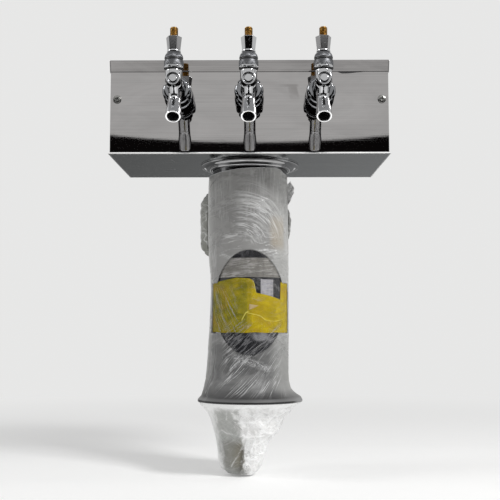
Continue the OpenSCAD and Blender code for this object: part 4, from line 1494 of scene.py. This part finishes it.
@dataclass
class Tap:
    """One faucet with its lever, turned and cast pieces on a shared axis."""

    side: str = "middle"
    x: float = 0.0
    y: float = -166.5
    z: float = 385.5
    mouth: tuple[float, float] = (-6.0, -44.5)
    slope: float = 35.0
    sleeve_turn: float = 0.0
    sleeve_low_r: float = 7.9
    sleeve_top_r: float = 9.7
    sleeve_h: float = 16.6
    sleeve_z: float = 45.1

    def build(self) -> None:
        """Build and dress the whole tap."""
        self._casting()
        self._spout()
        self._boss()
        self._nut()
        self._neck()
        self._lever()
        LOG.info("%s tap: casting, spout, boss, nut, neck and lever", self.side)

    @property
    def origin(self) -> Matrix:
        """Return the place of the tap's own zero point."""
        return at(self.x, self.y, self.z)

    @property
    def lying(self) -> Matrix:
        """Return the place of what is turned on the shank's axis."""
        return self.origin @ along_y()

    def _turn(self, name: str, profile: Sequence[Point], look: Look, place: Matrix,
              steps: int = 96, **more: Any) -> None:
        """Turn one piece of the tap; what follows the steps goes to its piece call."""
        Shape().lathe(profile, place, steps).piece(f"{self.side}_{name}", look, **more)

    def _casting(self) -> None:
        """Cast the body: barrel, ball, neck, boss root and the throat above the spout."""
        shape = Shape()
        shape.rod(10.2, (0, 0, 0), (0, 44, 0)).ball(10.0, (0, 0.8, 1.2))
        shape.rod(10.15, (0, 0, 0), (0, 0, 12.6)).rod(8.2, (0, -9.5, 0), (0, 0, 0))
        up = Vector((0, math.sin(math.radians(self.slope)), math.cos(math.radians(self.slope))))
        foot = Vector((0, *self.mouth))
        shape.rod(7.5, foot + up * 22, foot + up * 34)
        shape.rod(6.9, (0, 9.6, -27.6), (0, 9.6, -8.0))
        shape.rod(6.9, (0, -1.0, -1.44), (0, 7.58, -10.02))
        shape.rod(7.8, foot + up * 24, (0, 24, -6))
        shape.fuse(0.5, 6).put(self.origin).piece(
            f"{self.side}_casting", Look.CHROME, sharp=180,
            stands_for=[f"{self.side}_faucet_body"])

    def _spout(self) -> None:
        """Turn the spout, with its rolled mouth, bore and vent slot."""
        inner, outer, top = 6.95, 9.15, 7.75
        profile = [(6.6, 14.0), (inner, 13.6), (inner, 0.9), (inner + 0.25, 0.25),
                   (inner + 0.7, 0.0), (outer - 0.5, 0.0), (outer - 0.12, 0.18), (outer, 0.6)]
        profile += [(outer + (top - outer) * blend_step(k, 12, 50), 0.6 + 0.5 * k)
                    for k in range(1, 50)]
        profile += [(top, 25.6), (top - 0.1, 26.0), (top - 0.45, 26.3), (top - 2.0, 26.5),
                    (0.0, 26.6)]
        floor = [(0.0, 24.0), (6.6, 24.0), (6.6, 14.0)]
        tilt = Matrix.Rotation(math.radians(-self.slope), 4, "X")
        place = self.origin @ at(0, *self.mouth) @ tilt

        def slot(p: Vector) -> Vector:
            """Press the vent slot into the upper front side.

            Args:
                p: A point of the shape.

            Returns:
                Its new place.
            """
            if p.y > 0 or not 4.0 < p.z < 25:
                return p
            gap = math.hypot(p.x, max(0.0, 11.0 - p.z, p.z - 21.4))
            depth = 1.8 * blend_step(gap, 1.35, 1.0)
            reach = p.xy.length
            if reach > 7.2:
                p.xy *= (reach - depth) / reach
            return p

        shape = Shape().lathe(floor + profile, steps=160).warp(slot)
        for face in shape.bm.faces:
            middle = face.calc_center_median()
            # Painted shadow: the pressed slot's faces take black rubber.
            if middle.y < 0 and math.hypot(middle.x, max(0.0, 11.0 - middle.z,
                                                         middle.z - 21.4)) < 1.1:
                face.material_index = 1
            # Painted highlight: the mouth's end face takes the near-white rim chrome.
            if middle.z < 0.75 and middle.xy.length > inner:
                face.material_index = 2
        shape.put(place).piece(f"{self.side}_spout", Look.CHROME, sharp=40,
                               extra=[Look.RUBBER, Look.RIM])

        # Painted shadow: a black rubber disc and sleeve inside the bore darken it.
        dark = Shape().lathe([(0.0, 12.0), (6.9, 12.0), (6.9, 13.0), (0.0, 13.0)], place, steps=48)
        dark.lathe([(6.60, 1.2), (6.93, 1.2), (6.93, 12.0), (6.60, 12.0), (6.60, 1.2)], place,
                   steps=96)
        dark.piece(f"{self.side}_bore_shadow", Look.RUBBER)

    def _boss(self) -> None:
        """Turn the front boss with its ring and the recessed plug."""
        ring = [(6.65, -8.0), (6.65, -12.9), (6.95, -13.4), (7.3, -13.5), (8.2, -13.5),
                (8.62, -13.25), (8.7, -12.8), (8.7, -6.0), (6.65, -6.0), (6.65, -8.0)]
        self._turn("boss_ring", ring, Look.CHROME, self.lying)
        plug = [(0.0, -12.15), (3.0, -12.3), (4.7, -12.25), (5.35, -12.0), (5.7, -11.5),
                (5.8, -10.8), (6.58, -10.8), (6.58, -7.2), (4.3, -7.2), (4.3, -3.6), (0.0, -3.6)]
        self._turn("plug", plug, Look.CHROME, self.lying, 72, stands_for=["front_plugs"])

    def _nut(self) -> None:
        """Turn the coupling nut and the flange of the shank."""
        r = 18.0
        profile = [(13.95, 43.0), (10.6, 43.0), (10.6, 38.0), (13.6, 38.0), (14.9, 38.2),
                   (16.2, 39.0), (17.3, 40.3), (17.9, 41.8), (r, 43.4), (r, 54.6), (17.7, 55.4),
                   (17.0, 56.0), (13.95, 56.0), (13.95, 43.0)]

        def notch(p: Vector) -> Vector:
            """Press six spanner notches into the nut.

            Args:
                p: A point of the shape.

            Returns:
                Its new place.
            """
            turn = math.degrees(math.atan2(p.y, p.x)) % 60 - 30
            reach = p.xy.length
            if reach > 15 and abs(turn) < 8:
                bite = math.sqrt(max(0.0, 1 - (turn / 8) ** 2)) * 1.5
                p.xy *= (reach - bite) / reach
            return p

        Shape().lathe(profile, steps=240).warp(notch).put(self.lying).piece(
            f"{self.side}_nut", Look.NUT, stands_for=[f"{self.side}_coupling_nut"])

        flange = [(11.4, 62.0), (13.9, 62.0), (15.2, 62.25), (16.6, 63.4), (17.6, 65.0),
                  (18.2, 67.4), (18.6, 71.0), (18.8, 76.0), (18.8, 82.2), (18.55, 82.9),
                  (18.0, 83.0), (11.4, 83.0), (11.4, 62.0)]
        self._turn("shank_flange", flange, Look.NUT, self.lying, 128,
                   stands_for=["shank_flanges"])

    def _neck(self) -> None:
        """Turn the knurled bonnet, the two black rings and the knurled dome nut."""
        bonnet = [(9.7, 14.6), (11.2, 14.6), (11.6, 14.9), (11.65, 15.4), (11.65, 16.6),
                  (11.3, 16.9), (11.3, 17.2), (11.65, 17.5), (11.65, 23.3), (11.4, 23.9),
                  (10.9, 24.2), (9.7, 24.2), (9.7, 14.6)]
        Shape().lathe(bonnet, self.origin, steps=128, ripple=0.18, rows=(17.4, 23.6)).piece(
            f"{self.side}_bonnet_ring", Look.CHROME, stands_for=[f"{self.side}_bonnet"],
            sharp=25, extra=[Look.KNURL])
        for name, low, high in (("lower", 13.2, 14.6), ("upper", 24.2, 27.2)):
            mid, half = (low + high) / 2, (high - low) / 2
            ring = [(9.7, low)] + [(10.45 + 0.45 * math.cos(math.radians(a)),
                                    mid + half * math.sin(math.radians(a)))
                                   for a in range(-90, 91, 15)] + [(9.7, high), (9.7, low)]
            self._turn(f"{name}_ring", ring, Look.RUBBER, self.origin,
                       stands_for=["friction_rings"])
        dome = [(9.7, 27.2), (10.9, 27.2), (11.15, 27.4)]
        dome += [(math.sqrt(11.2 ** 2 - (z - 26.5) ** 2), z)
                 for z in (27.8 + 6.0 * k / 14 for k in range(15))]
        dome += [(8.0, 33.9), (6.5, 33.9), (4.5, 33.9), (2.9, 33.9), (2.9, 32.4), (9.7, 29.0),
                 (9.7, 27.2)]

        def slot(p: Vector) -> Vector:
            """Draw the round hole out into the slot that the lever's rod swings in.

            Args:
                p: A point of the shape.

            Returns:
                Its new place.
            """
            reach = p.xy.length
            if p.z < 31.5 or reach > 8.35 or p.y > 0:
                return p
            lean = math.atan2(abs(p.x), -p.y)
            far = 2.9 + 4.4 * math.cos(lean) ** 3
            p.xy *= (far + (reach - 2.9) * (8.4 - far) / 5.5) / reach
            return p

        shape = Shape().lathe(dome, steps=128, ripple=0.18, rows=(27.6, 31.6)).warp(slot)
        shape.put(self.origin)
        shape.piece(f"{self.side}_dome", Look.NUT, sharp=25,
                    stands_for=[f"{self.side}_dome_nut"], extra=[Look.KNURL])

    def _lever(self) -> None:
        """Turn the lever's pieces: collar, flared hexagonal ferrule and threaded stud."""
        body = f"{self.side}_lever_body"
        rod = [(0.0, 15.5), (1.2, 15.9), (1.9, 16.9), (2.0, 17.6), (1.5, 18.9), (1.5, 21.2)]
        rod += [(5.5 * math.sin(math.radians(t)), 26.5 - 5.5 * math.cos(math.radians(t)))
                for t in range(18, 153, 6)]
        rod += [(2.6, 31.5), (2.6, 37.6), (6.2, 36.2), (7.6, 35.1), (8.15, 34.6), (8.3, 35.0),
                (8.3, 36.1), (8.15, 36.6), (7.7, 36.8), (6.2, 36.8), (6.2, 41.1), (0.0, 41.1)]
        self._turn("lever_rod", rod, Look.CHROME, self.origin, body=body,
                   stands_for=[f"{self.side}_lever"])
        hexagon = Shape()
        spin = Matrix.Rotation(math.radians(30 + self.sleeve_turn), 4, "Z")
        bmesh.ops.create_cone(hexagon.bm, cap_ends=True, segments=6, radius1=self.sleeve_low_r,
                              radius2=self.sleeve_top_r, depth=self.sleeve_h,
                              matrix=self.origin @ at(0, 0, self.sleeve_z) @ spin)
        below = [f for f in hexagon.bm.faces if f.normal.z < -0.9]
        bmesh.ops.inset_individual(hexagon.bm, faces=below, thickness=2.2)
        bmesh.ops.translate(hexagon.bm, vec=(0, 0, 2.0), verts=list(below[0].verts))
        hexagon.bevel(0.7, 3, 20)
        look = Look.CHROME if self.side == "middle" else Look.SLEEVE
        hexagon.piece(f"{self.side}_sleeve", look, body,
                      stands_for=[f"{self.side}_ferrule"], sharp=50, flats=True)
        thread = [(0.0, 52.0), (4.45, 52.0)]
        pitch, z = 1.0, 52.4
        while z < 64.2:
            thread += [(4.25, z), (4.76, z + pitch * 0.4), (4.76, z + pitch * 0.55),
                       (4.25, z + pitch * 0.95)]
            z += pitch
        thread += [(4.2, 64.8), (3.7, 65.3), (1.4, 65.3), (1.1, 64.2), (0.0, 64.0)]
        self._turn("handle_thread", thread, Look.BRASS, self.origin, 64, body=body,
                   stands_for=[f"{self.side}_stud"], sharp=30)


@dataclass
class Packing:
    """The stretch film: wrap, rear bundle, loose tuft and tail bag."""

    column_r: float = 50.0
    film_top: float = 304.4
    bag_depth: float = 97.8
    seed: int = 7
    badge_z: float = 127.5
    clear_half: Point = (46.9, 69.2)
    slant_band: float = 18.0
    unrolled_r: float = 0.0515
    tuft_x: float = 51.6
    tuft_low: float = 263.0
    tuft_tall: float = 30.0
    bundle_centre: tuple[float, float, float] = (-6.0, 26.0, 238.0)
    bundle_half: tuple[float, float, float] = (64.0, 36.0, 50.0)
    stroke_rows: tuple[tuple[Any, ...], ...] = (
        (10, ((-10, 236), (20, 268)), ((30, -26), (56, -8)), (5, 12), (0.30, 0.62)),
        (7, ((4, 204), (18, 216)), ((18, -4), (36, 2)), (-4, -1), (0.25, 0.55)),
        (9, ((-58, 182), (-24, 200)), ((14, -6), (36, 10)), (-2, 5), (0.2, 0.55)),
        (9, ((0, 190), (36, 204)), ((14, -12), (34, 2)), (-2, 3), (0.3, 0.7)),
        (7, ((-14, 88), (30, 108)), ((12, -8), (34, 8)), (-2, 3), (0.2, 0.45)),
        (12, ((-34, 30), (-12, 44)), ((12, 12), (20, 20)), (-0.4, 0.4), (0.30, 0.65)),
        (14, ((-6, 10), (34, 24)), ((8, 12), (18, 26)), (-0.3, 0.3), (0.16, 0.38)),
        (12, ((-80, 20), (-68, 280)), ((-5, -40), (8, 40)), (-3, 3), (0.2, 0.45)),
        (10, ((66, 20), (78, 280)), ((-5, -40), (6, 40)), (-3, 3), (0.2, 0.45)),
        (50, ((100, 20), (250, 280)), ((20, -30), (70, 30)), (-8, 8), (0.2, 0.6)))
    bag_marks: tuple[tuple[Point, ...], ...] = (
        ((-29.9, 8.5), (-28.4, 16.6), (-30.4, 22.7)), ((-33.0, 13.5), (-29.0, 14.5)),
        ((-14.6, 6.4), (-12.0, 12.4)), ((-10.0, 8.0), (-6.0, 14.0)), ((-43.3, 16.6), (-41.9, 26.8)),
        ((-48.3, 8.5), (-45.7, 14.6)), ((-37.0, 14.0), (-39.0, 9.0), (-36.0, 6.0)),
        ((-35.7, 36.1), (-28.0, 40.2), (-17.7, 42.8), (-7.4, 44.8), (9.0, 44.3), (25.3, 45.8)),
        ((-10.5, 57.5), (-18.7, 73.9), (-23.9, 84.2)), ((-6.6, 56.0), (-7.4, 86.0)),
        ((4.0, 30.0), (16.0, 40.0)), ((2.0, 10.0), (22.0, 26.0)),
        ((12.0, 8.0), (30.0, 22.0)), ((20.0, 10.0), (34.0, 20.0)), ((6.0, 20.0), (20.0, 32.0)),
        ((2.0, 52.0), (14.0, 60.0)), ((0.0, 62.0), (12.0, 70.0)))
    right_edge: tuple[Point, ...] = (
        (-2, 69.4), (1.0, 69.6), (4.7, 67.4), (8, 62.0), (12, 57.2), (16, 54.2), (25, 51.9),
        (36, 51.4), (60, 51.6), (88, 51.9), (176, 51.9), (205, 52.0), (240, 51.4), (280, 50.9),
        (304.4, 50.6))
    left_edge: tuple[Point, ...] = (
        (-2, 69.4), (1.0, 69.2), (6, 64.5), (14, 62.0), (28, 59.0), (48, 57.0), (70, 56.0),
        (95, 54.0), (115, 53.4), (145, 52.4), (165, 53.0), (185, 55.0), (215, 56.8), (250, 57.0),
        (275, 56.8), (304.4, 55.4))

    def build(self) -> None:
        """Build and dress all the film."""
        random.seed(self.seed)
        self._wrap()
        self._bundle()
        self._tuft()
        self._bag()
        LOG.info("packing: wrap, bundle, tuft and bag")

    def _strokes(self, count: int, start: tuple[Point, Point], run: tuple[Point, Point],
                 bend: tuple[float, float], power: tuple[float, float]
                 ) -> list[tuple[list[Point], float]]:
        """Draw a family of creases with seeded chance.

        Args:
            count: How many.
            start: Low and high corner of their starts, in degrees and millimetres.
            run: Low and high corner of their runs.
            bend: Least and most sideways bow, in millimetres.
            power: Least and most height.

        Returns:
            Each crease as its points and its height.
        """
        made = []
        for _ in range(count):
            a, z = (random.uniform(low, high) for low, high in zip(*start))
            da, dz = (random.uniform(low, high) for low, high in zip(*run))
            bow, lift = random.uniform(*bend), random.uniform(*power)
            path = [(a + da * t, z + dz * t + bow * math.sin(math.pi * t))
                    for t in (k / 10 for k in range(11))]
            made.append((path, lift))
        return made

    def _creases(self) -> list[tuple[list[Point], float]]:
        """Return all the creases of the wrap, as (degrees, millimetres) paths."""
        return [crease for row in self.stroke_rows for crease in self._strokes(*row)]

    def _wrap(self) -> None:
        """Wind the film round the column, down over the flange's skirt."""
        front_cols, back_cols, rows = 270, 70, 280
        turns = np.concatenate([np.linspace(-100, 100, front_cols, endpoint=False),
                                np.linspace(100, 260, back_cols + 1)])
        columns = len(turns) - 1
        levels = np.concatenate([np.linspace(-1.6, 12, 24, endpoint=False),
                                 np.linspace(12, self.film_top, rows - 23)])
        shape = Shape().net(columns, rows)
        height = np.zeros((rows + 1, columns + 1))
        for path, power in self._creases():
            for (a0, z0), (a1, z1) in zip(path, path[1:]):
                steps = max(2, int(max(abs(a1 - a0) / 0.5, abs(z1 - z0) / 0.8)))
                for k in range(steps):
                    a, z = a0 + (a1 - a0) * k / steps, z0 + (z1 - z0) * k / steps
                    i, j = int(np.searchsorted(turns, a)), int(np.searchsorted(levels, z))
                    if not (1 <= i < columns and 1 <= j < rows):
                        continue
                    for di in (-1, 0, 1):
                        for dj in (-1, 0, 1):
                            gap = math.hypot((turns[i + di] - a) * 0.9, levels[j + dj] - z)
                            height[j + dj, i + di] = max(height[j + dj, i + di],
                                                         power * math.exp(-(gap / 0.62) ** 2))
        haze, crease, warm, flat = [], [], [], []
        for v in shape.bm.verts:
            i, j = round(v.co.x * columns), round(v.co.y * rows)
            turn, z = float(turns[i]), float(levels[j])
            flat.append((math.radians(turn) * self.unrolled_r, z * MM, 0.0))
            v.co, marks = self._film_point(turn, z, float(height[j, i]))
            for values, value in zip((haze, crease, warm), marks):
                values.append(value)
        wrap = shape.piece("film_tube", Look.FILM, stands_for=["film_wrap"], sharp=180,
                           outward=radial, marks={"haze": haze, "crease": crease, "warm": warm,
                                                  "flat": flat})

    def _film_point(self, turn: float, z: float, ridge: float
                    ) -> tuple[Vector, tuple[float, float, float]]:
        """Place one point of the wrap.

        Args:
            turn: Degrees from the front, positive to the right.
            z: Height.
            ridge: Height of the crease there.

        Returns:
            The point, and its haze, crease and warm marks.
        """
        a = math.radians(turn)
        right, left = follow(self.right_edge, z), follow(self.left_edge, z)
        side = blend_step(math.sin(a), -1.0, 1.0)
        front = max(0.0, math.cos(a))
        base = left + (right - left) * side
        over_tape = between(z, 80, 86, 162, 168)
        tight = self.column_r + 1.0 + 1.1 * over_tape
        hug = blend_step(z, 16.0, 40.0) * front
        reach = base + (tight - base) * hug if base > tight or z > 16 else base
        spot = Vector((turn * 0.05, z * 0.05, 0.0))
        wave = noise.noise(spot * 1.1 + Vector((0, 0, 4.0)))
        fold = abs(rough_at(turn * 0.045, z * 0.11, 8.0))
        reach += 0.35 * (wave + 0.3) + 0.7 * ridge + 0.35 * fold
        least = self.column_r + 0.55 + 0.4 * between(z, 54, 58, 198, 202) + 0.8 * over_tape
        if z > 14:
            reach = max(reach, least)
        low, top = self.film_top - self.slant_band, self._top_edge(turn)
        if z > low:
            z = low + (z - low) / self.slant_band * (top - low)
        # The film is clear over the badge, inside oval 1, and over the tape.
        oval = (math.hypot(reach * math.sin(a) / self.clear_half[0],
                           (z - self.badge_z) / self.clear_half[1]) if front else 2.0)
        over_band = between(z, 87, 89, 153.0, 154.5) * blend_step(abs(turn), 80, 77)
        clear = max(blend_step(oval, 1.0, 0.97), over_band)
        cloud = 0.5 + 0.5 * rough_at(turn * 0.06, z * 0.09, 15.0)
        layers = 1.0 - clear * (0.99 - 0.05 * cloud)
        fade, pale_edge = ((69, 72), 67.8) if turn < 0 else ((73, 76), 73.0)
        if oval > 1.0:
            layers = max(layers, blend_step(abs(turn), *fade))
        # A pale band along the tape's visible edges, painted through the crease mark: partly milky
        # film, partly painted light over the shade that falls there.
        if 86 < z < 156.5:
            ridge = max(ridge, 0.62 * math.exp(-((abs(turn) - pale_edge) / 1.4) ** 2))
        # A painted highlight along the film's top edge, through the crease mark.
        ridge = max(ridge, 0.55 * blend_step(z, top - 1.3, top - 0.2))
        tan = between(turn, 27, 37, 56, 64) * between(z, 192, 206, 232, 246)
        return (on_round(reach, turn, z),
                (layers, ridge, 0.42 * tan * (0.6 + 0.4 * cloud)))

    def _top_edge(self, turn: float) -> float:
        """Return the height of the film's slanting top edge at a turn."""
        return follow(((-180, 299), (-86, 299.3), (-60, 299.5), (-40, 300.8), (-18, 302.3),
                       (1, 303.3), (23, 304.4), (44, 305.2), (54, 304.0), (63, 300.7),
                       (80, 299.6), (110, 299), (180, 299), (260, 299)),
                      turn if turn < 180 else turn - 360)

    def _bundle(self) -> None:
        """Crumple the oval bundle of spare film behind the column."""
        shape = Shape()
        bmesh.ops.create_uvsphere(shape.bm, u_segments=200, v_segments=140, radius=1.0)
        centre = Vector(self.bundle_centre)
        wide, thick, tall = self.bundle_half
        haze, crease = [], []
        for v in shape.bm.verts:
            way = v.co.copy()
            rib = abs(rough_at(way.x * 2.0, way.y * 2.0, way.z * 4.2))
            crumple = abs(noise.noise(way * 6.5)) + 0.5 * abs(noise.noise(way * 14.0))
            size = 0.965 + 0.035 * rib + 0.016 * crumple
            blunt = 4.6 if way.x < 0 else 2.3
            flat = max(0.0, 1 - abs(way.z) ** blunt) ** (1 / blunt) / max(0.05, way.xy.length)
            p = Vector((way.x * wide * size * flat, way.y * thick * size * flat,
                        way.z * tall * size)) + centre
            # Spare film stays outside the wrap.
            least = 57.6 if p.x < 0 else 54.4
            if abs(p.x) < least:
                p.y = max(p.y, math.sqrt(least * least - p.x * p.x))
            v.co = p
            haze.append(0.75)
            crease.append(max(0.0, 1.0 - 9.0 * min(rib, 0.6 * crumple)))
        spare = shape.piece("film_bundle", Look.BUNDLE, stands_for=["rear_bundle"],
                            sharp=180, marks={"haze": haze, "crease": crease})

    def _tuft(self) -> None:
        """Twist the loose end of film that sticks out on the right."""
        outline = ((0.0, 1.2, -2.0), (0.10, 3.6, -2.0), (0.25, 5.2, -2.0), (0.40, 7.6, -2.0),
                   (0.47, 8.6, -2.0), (0.53, 7.4, -2.0), (0.68, 8.8, -2.0), (0.80, 7.4, -1.6),
                   (0.90, 5.4, 0.8), (1.0, 3.8, 2.6))
        haze, crease = [], []
        shape = Shape().net(30, 84)
        for v in shape.bm.verts:
            u, t = v.co.x, v.co.y
            far = follow([(r[0], r[1]) for r in outline], t)
            near = follow([(r[0], r[2]) for r in outline], t)
            x = self.tuft_x + near + (far - near) * u
            z = self.tuft_low + self.tuft_tall * t + 1.4 * math.sin(u * 7 + t * 3)
            fold = rough_at(u * 3.0, t * 5.0, 2.0)
            crumple = abs(rough_at(u * 7.0, t * 11.0, 5.0))
            v.co = Vector((x + 0.4 * fold, 2.2 * fold + 2.0 * crumple - 1.0, z))
            haze.append(0.85 + 0.15 * crumple)
            crease.append(max(0.0, 1.0 - 5.0 * abs(fold)))
        flag = shape.piece("film_end", Look.TUFT, stands_for=["film_tuft"], sharp=180,
                           marks={"haze": haze, "crease": crease})

    @staticmethod
    def _near(spot: Vector, path: Sequence[Point]) -> float:
        """Return 1 on a crease of the bag's front, and 0 beside it."""
        best = min(gap_to(spot, Vector(a), Vector(b)) for a, b in zip(path, path[1:]))
        return math.exp(-(best / 0.75) ** 2)

    @staticmethod
    def _facet(p: Vector, size: float) -> float:
        """Return how deep a point lies in its facet of crumpled film; 0 is on a ridge."""
        near = noise.voronoi(p / size)[0]
        return near[1] - near[0]

    def _bag(self) -> None:
        """Hang the crumpled bag below the flange."""
        left = ((0.0, 68.2), (2.6, 67.6), (6, 65.4), (14, 58.5), (27, 51.2), (42, 46.6),
                (61, 43.0), (77, 41.2), (88, 37.5), (95, 29.0), (97.8, 12.0))
        right = ((0.0, 68.2), (2.6, 67.8), (6, 62.5), (12, 57.5), (22, 49.0), (33, 43.0),
                 (41, 38.5), (48, 30.0), (58, 24.5), (76, 20.5), (90, 13.5), (95, 7.0),
                 (97.8, 2.0))
        front = ((0.0, 68.2), (2.6, 67.6), (8, 61.0), (20, 54.0), (34, 48.0), (45, 44.5),
                 (56, 38.0), (70, 32.0), (86, 27.0), (95, 20.0), (97.8, 8.0))
        columns, rows = 300, 200
        shape = Shape().net(columns, rows)
        haze, crease, stroke = [], [], []
        for v in shape.bm.verts:
            a, deep = v.co.x * math.tau, self.bag_depth * v.co.y
            c, s = math.cos(a), math.sin(a)
            half = follow(left if c < 0 else right, deep)
            thick = follow(front, deep)
            x, y = half * c, -thick * s
            p = Vector((x, y, deep))
            big, mid, small = (self._facet(p, size) for size in (24.0, 10.5, 4.6))
            rich = blend_step(x, -20.0 + 8.0 * blend_step(deep, 40, 52), -6.0)
            calm = blend_step(deep, 1.0, 9.0)
            dent = -(0.6 + 4.4 * rich) * big - (0.5 + 2.1 * rich) * mid - (0.1 + 1.0 * rich) * small
            dent += 3.0 * noise.noise(p * 0.035 + Vector((2.0, 5.0, 1.0)))
            groove = 0.0
            if s > 0 and deep > 50:
                track = follow(((50, -9.5), (60, -9.5), (80, -11.5), (98, -15.0)), deep)
                groove = math.exp(-((x - track) / (1.6 if x > track else 6.0)) ** 2)
                groove *= between(deep, 50, 60, 86, 96)
            size = math.hypot(x, y) or 1.0
            shrink = max(0.2, 1 + (min(0.8, dent * calm + 0.4) - 5.0 * groove) / size)
            v.co = Vector((x * shrink, y * shrink, -deep - 0.15))
            # The groove lowers the haze mark, which paints shade into it.
            haze.append(max(0.0, 1.0 - 0.35 * groove))
            bend = 1.6 * rough_at(x * 0.12, deep * 0.12, 21.0)
            spot = Vector((x + bend, deep - bend))
            stroke.append(max(self._near(spot, path) for path in self.bag_marks) if s > 0 else 0.0)
            crease.append(max(0.0, rich * (1.0 - 7.0 * min(big, mid * 1.2))))
        bag = shape.piece("film_bag", Look.BAG, stands_for=["tail_bag"], sharp=180,
                          outward=lambda p: Vector((p.x, p.y, -0.2)),
                          marks={"haze": haze, "crease": crease, "stroke": stroke})


@dataclass
class Inner:
    """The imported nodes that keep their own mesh, each with its finish."""

    looks: dict[str, Look] = field(default_factory=lambda: {
        "head_shell": Look.BOX, "front_panel": Look.PANEL, "clip_nuts": Look.ZINC,
        "head_liner": Look.FOAM, "backing_ring": Look.ZINC, "head_bolts": Look.ZINC,
        "column_foam": Look.FOAM, "base_flange": Look.FLANGE, "shanks": Look.SHANK,
        "jam_nuts": Look.ZINC, "coupling_gaskets": Look.RUBBER, "ball_seats": Look.SEAT,
        "tailpieces": Look.PLUNGER, "tail_nuts": Look.SHANK, "hose_clamps": Look.ZINC,
        "plunger": Look.PLUNGER, "seat_washer": Look.RUBBER, "beer_line": Look.HOSE})

    def build(self, frame: dict[str, Any]) -> None:
        """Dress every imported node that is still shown.

        Args:
            frame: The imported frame.
        """
        count = 0
        for name, node in frame["nodes"].items():
            if node.hide_render:
                continue
            base = name
            for side in TAPS:
                base = base.removeprefix(f"{side}_")
            look = self.looks.get(base, Look.CHROME)
            material = look.value.material()
            if not node.data.materials:
                node.data.materials.append(material)
            for index in range(len(node.data.materials)):
                node.data.materials[index] = material
            count += 1
        LOG.info("packed nodes with a finish: %d", count)


def clear_start_up() -> None:
    """Remove Blender's own start-up objects."""
    for item in list(bpy.data.objects):
        bpy.data.objects.remove(item)


def corners() -> list[list[float]]:
    """Return the shown object's box as plain numbers."""
    return [[float(c) for c in corner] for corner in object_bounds()]


def main() -> None:
    """Load the frame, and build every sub-assembly."""
    logging.basicConfig(level=logging.INFO, format="%(message)s")
    clear_start_up()
    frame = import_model()
    Studio().build()
    HeadBox().build()
    Column().build()
    for index, side in enumerate(TAPS):
        Tap(side, (index - 1) * TAP_PITCH, sleeve_turn=(index - 1) * 5.0).build()
    Packing().build()
    Inner().build(frame)


if __name__ == "__main__":
    main()
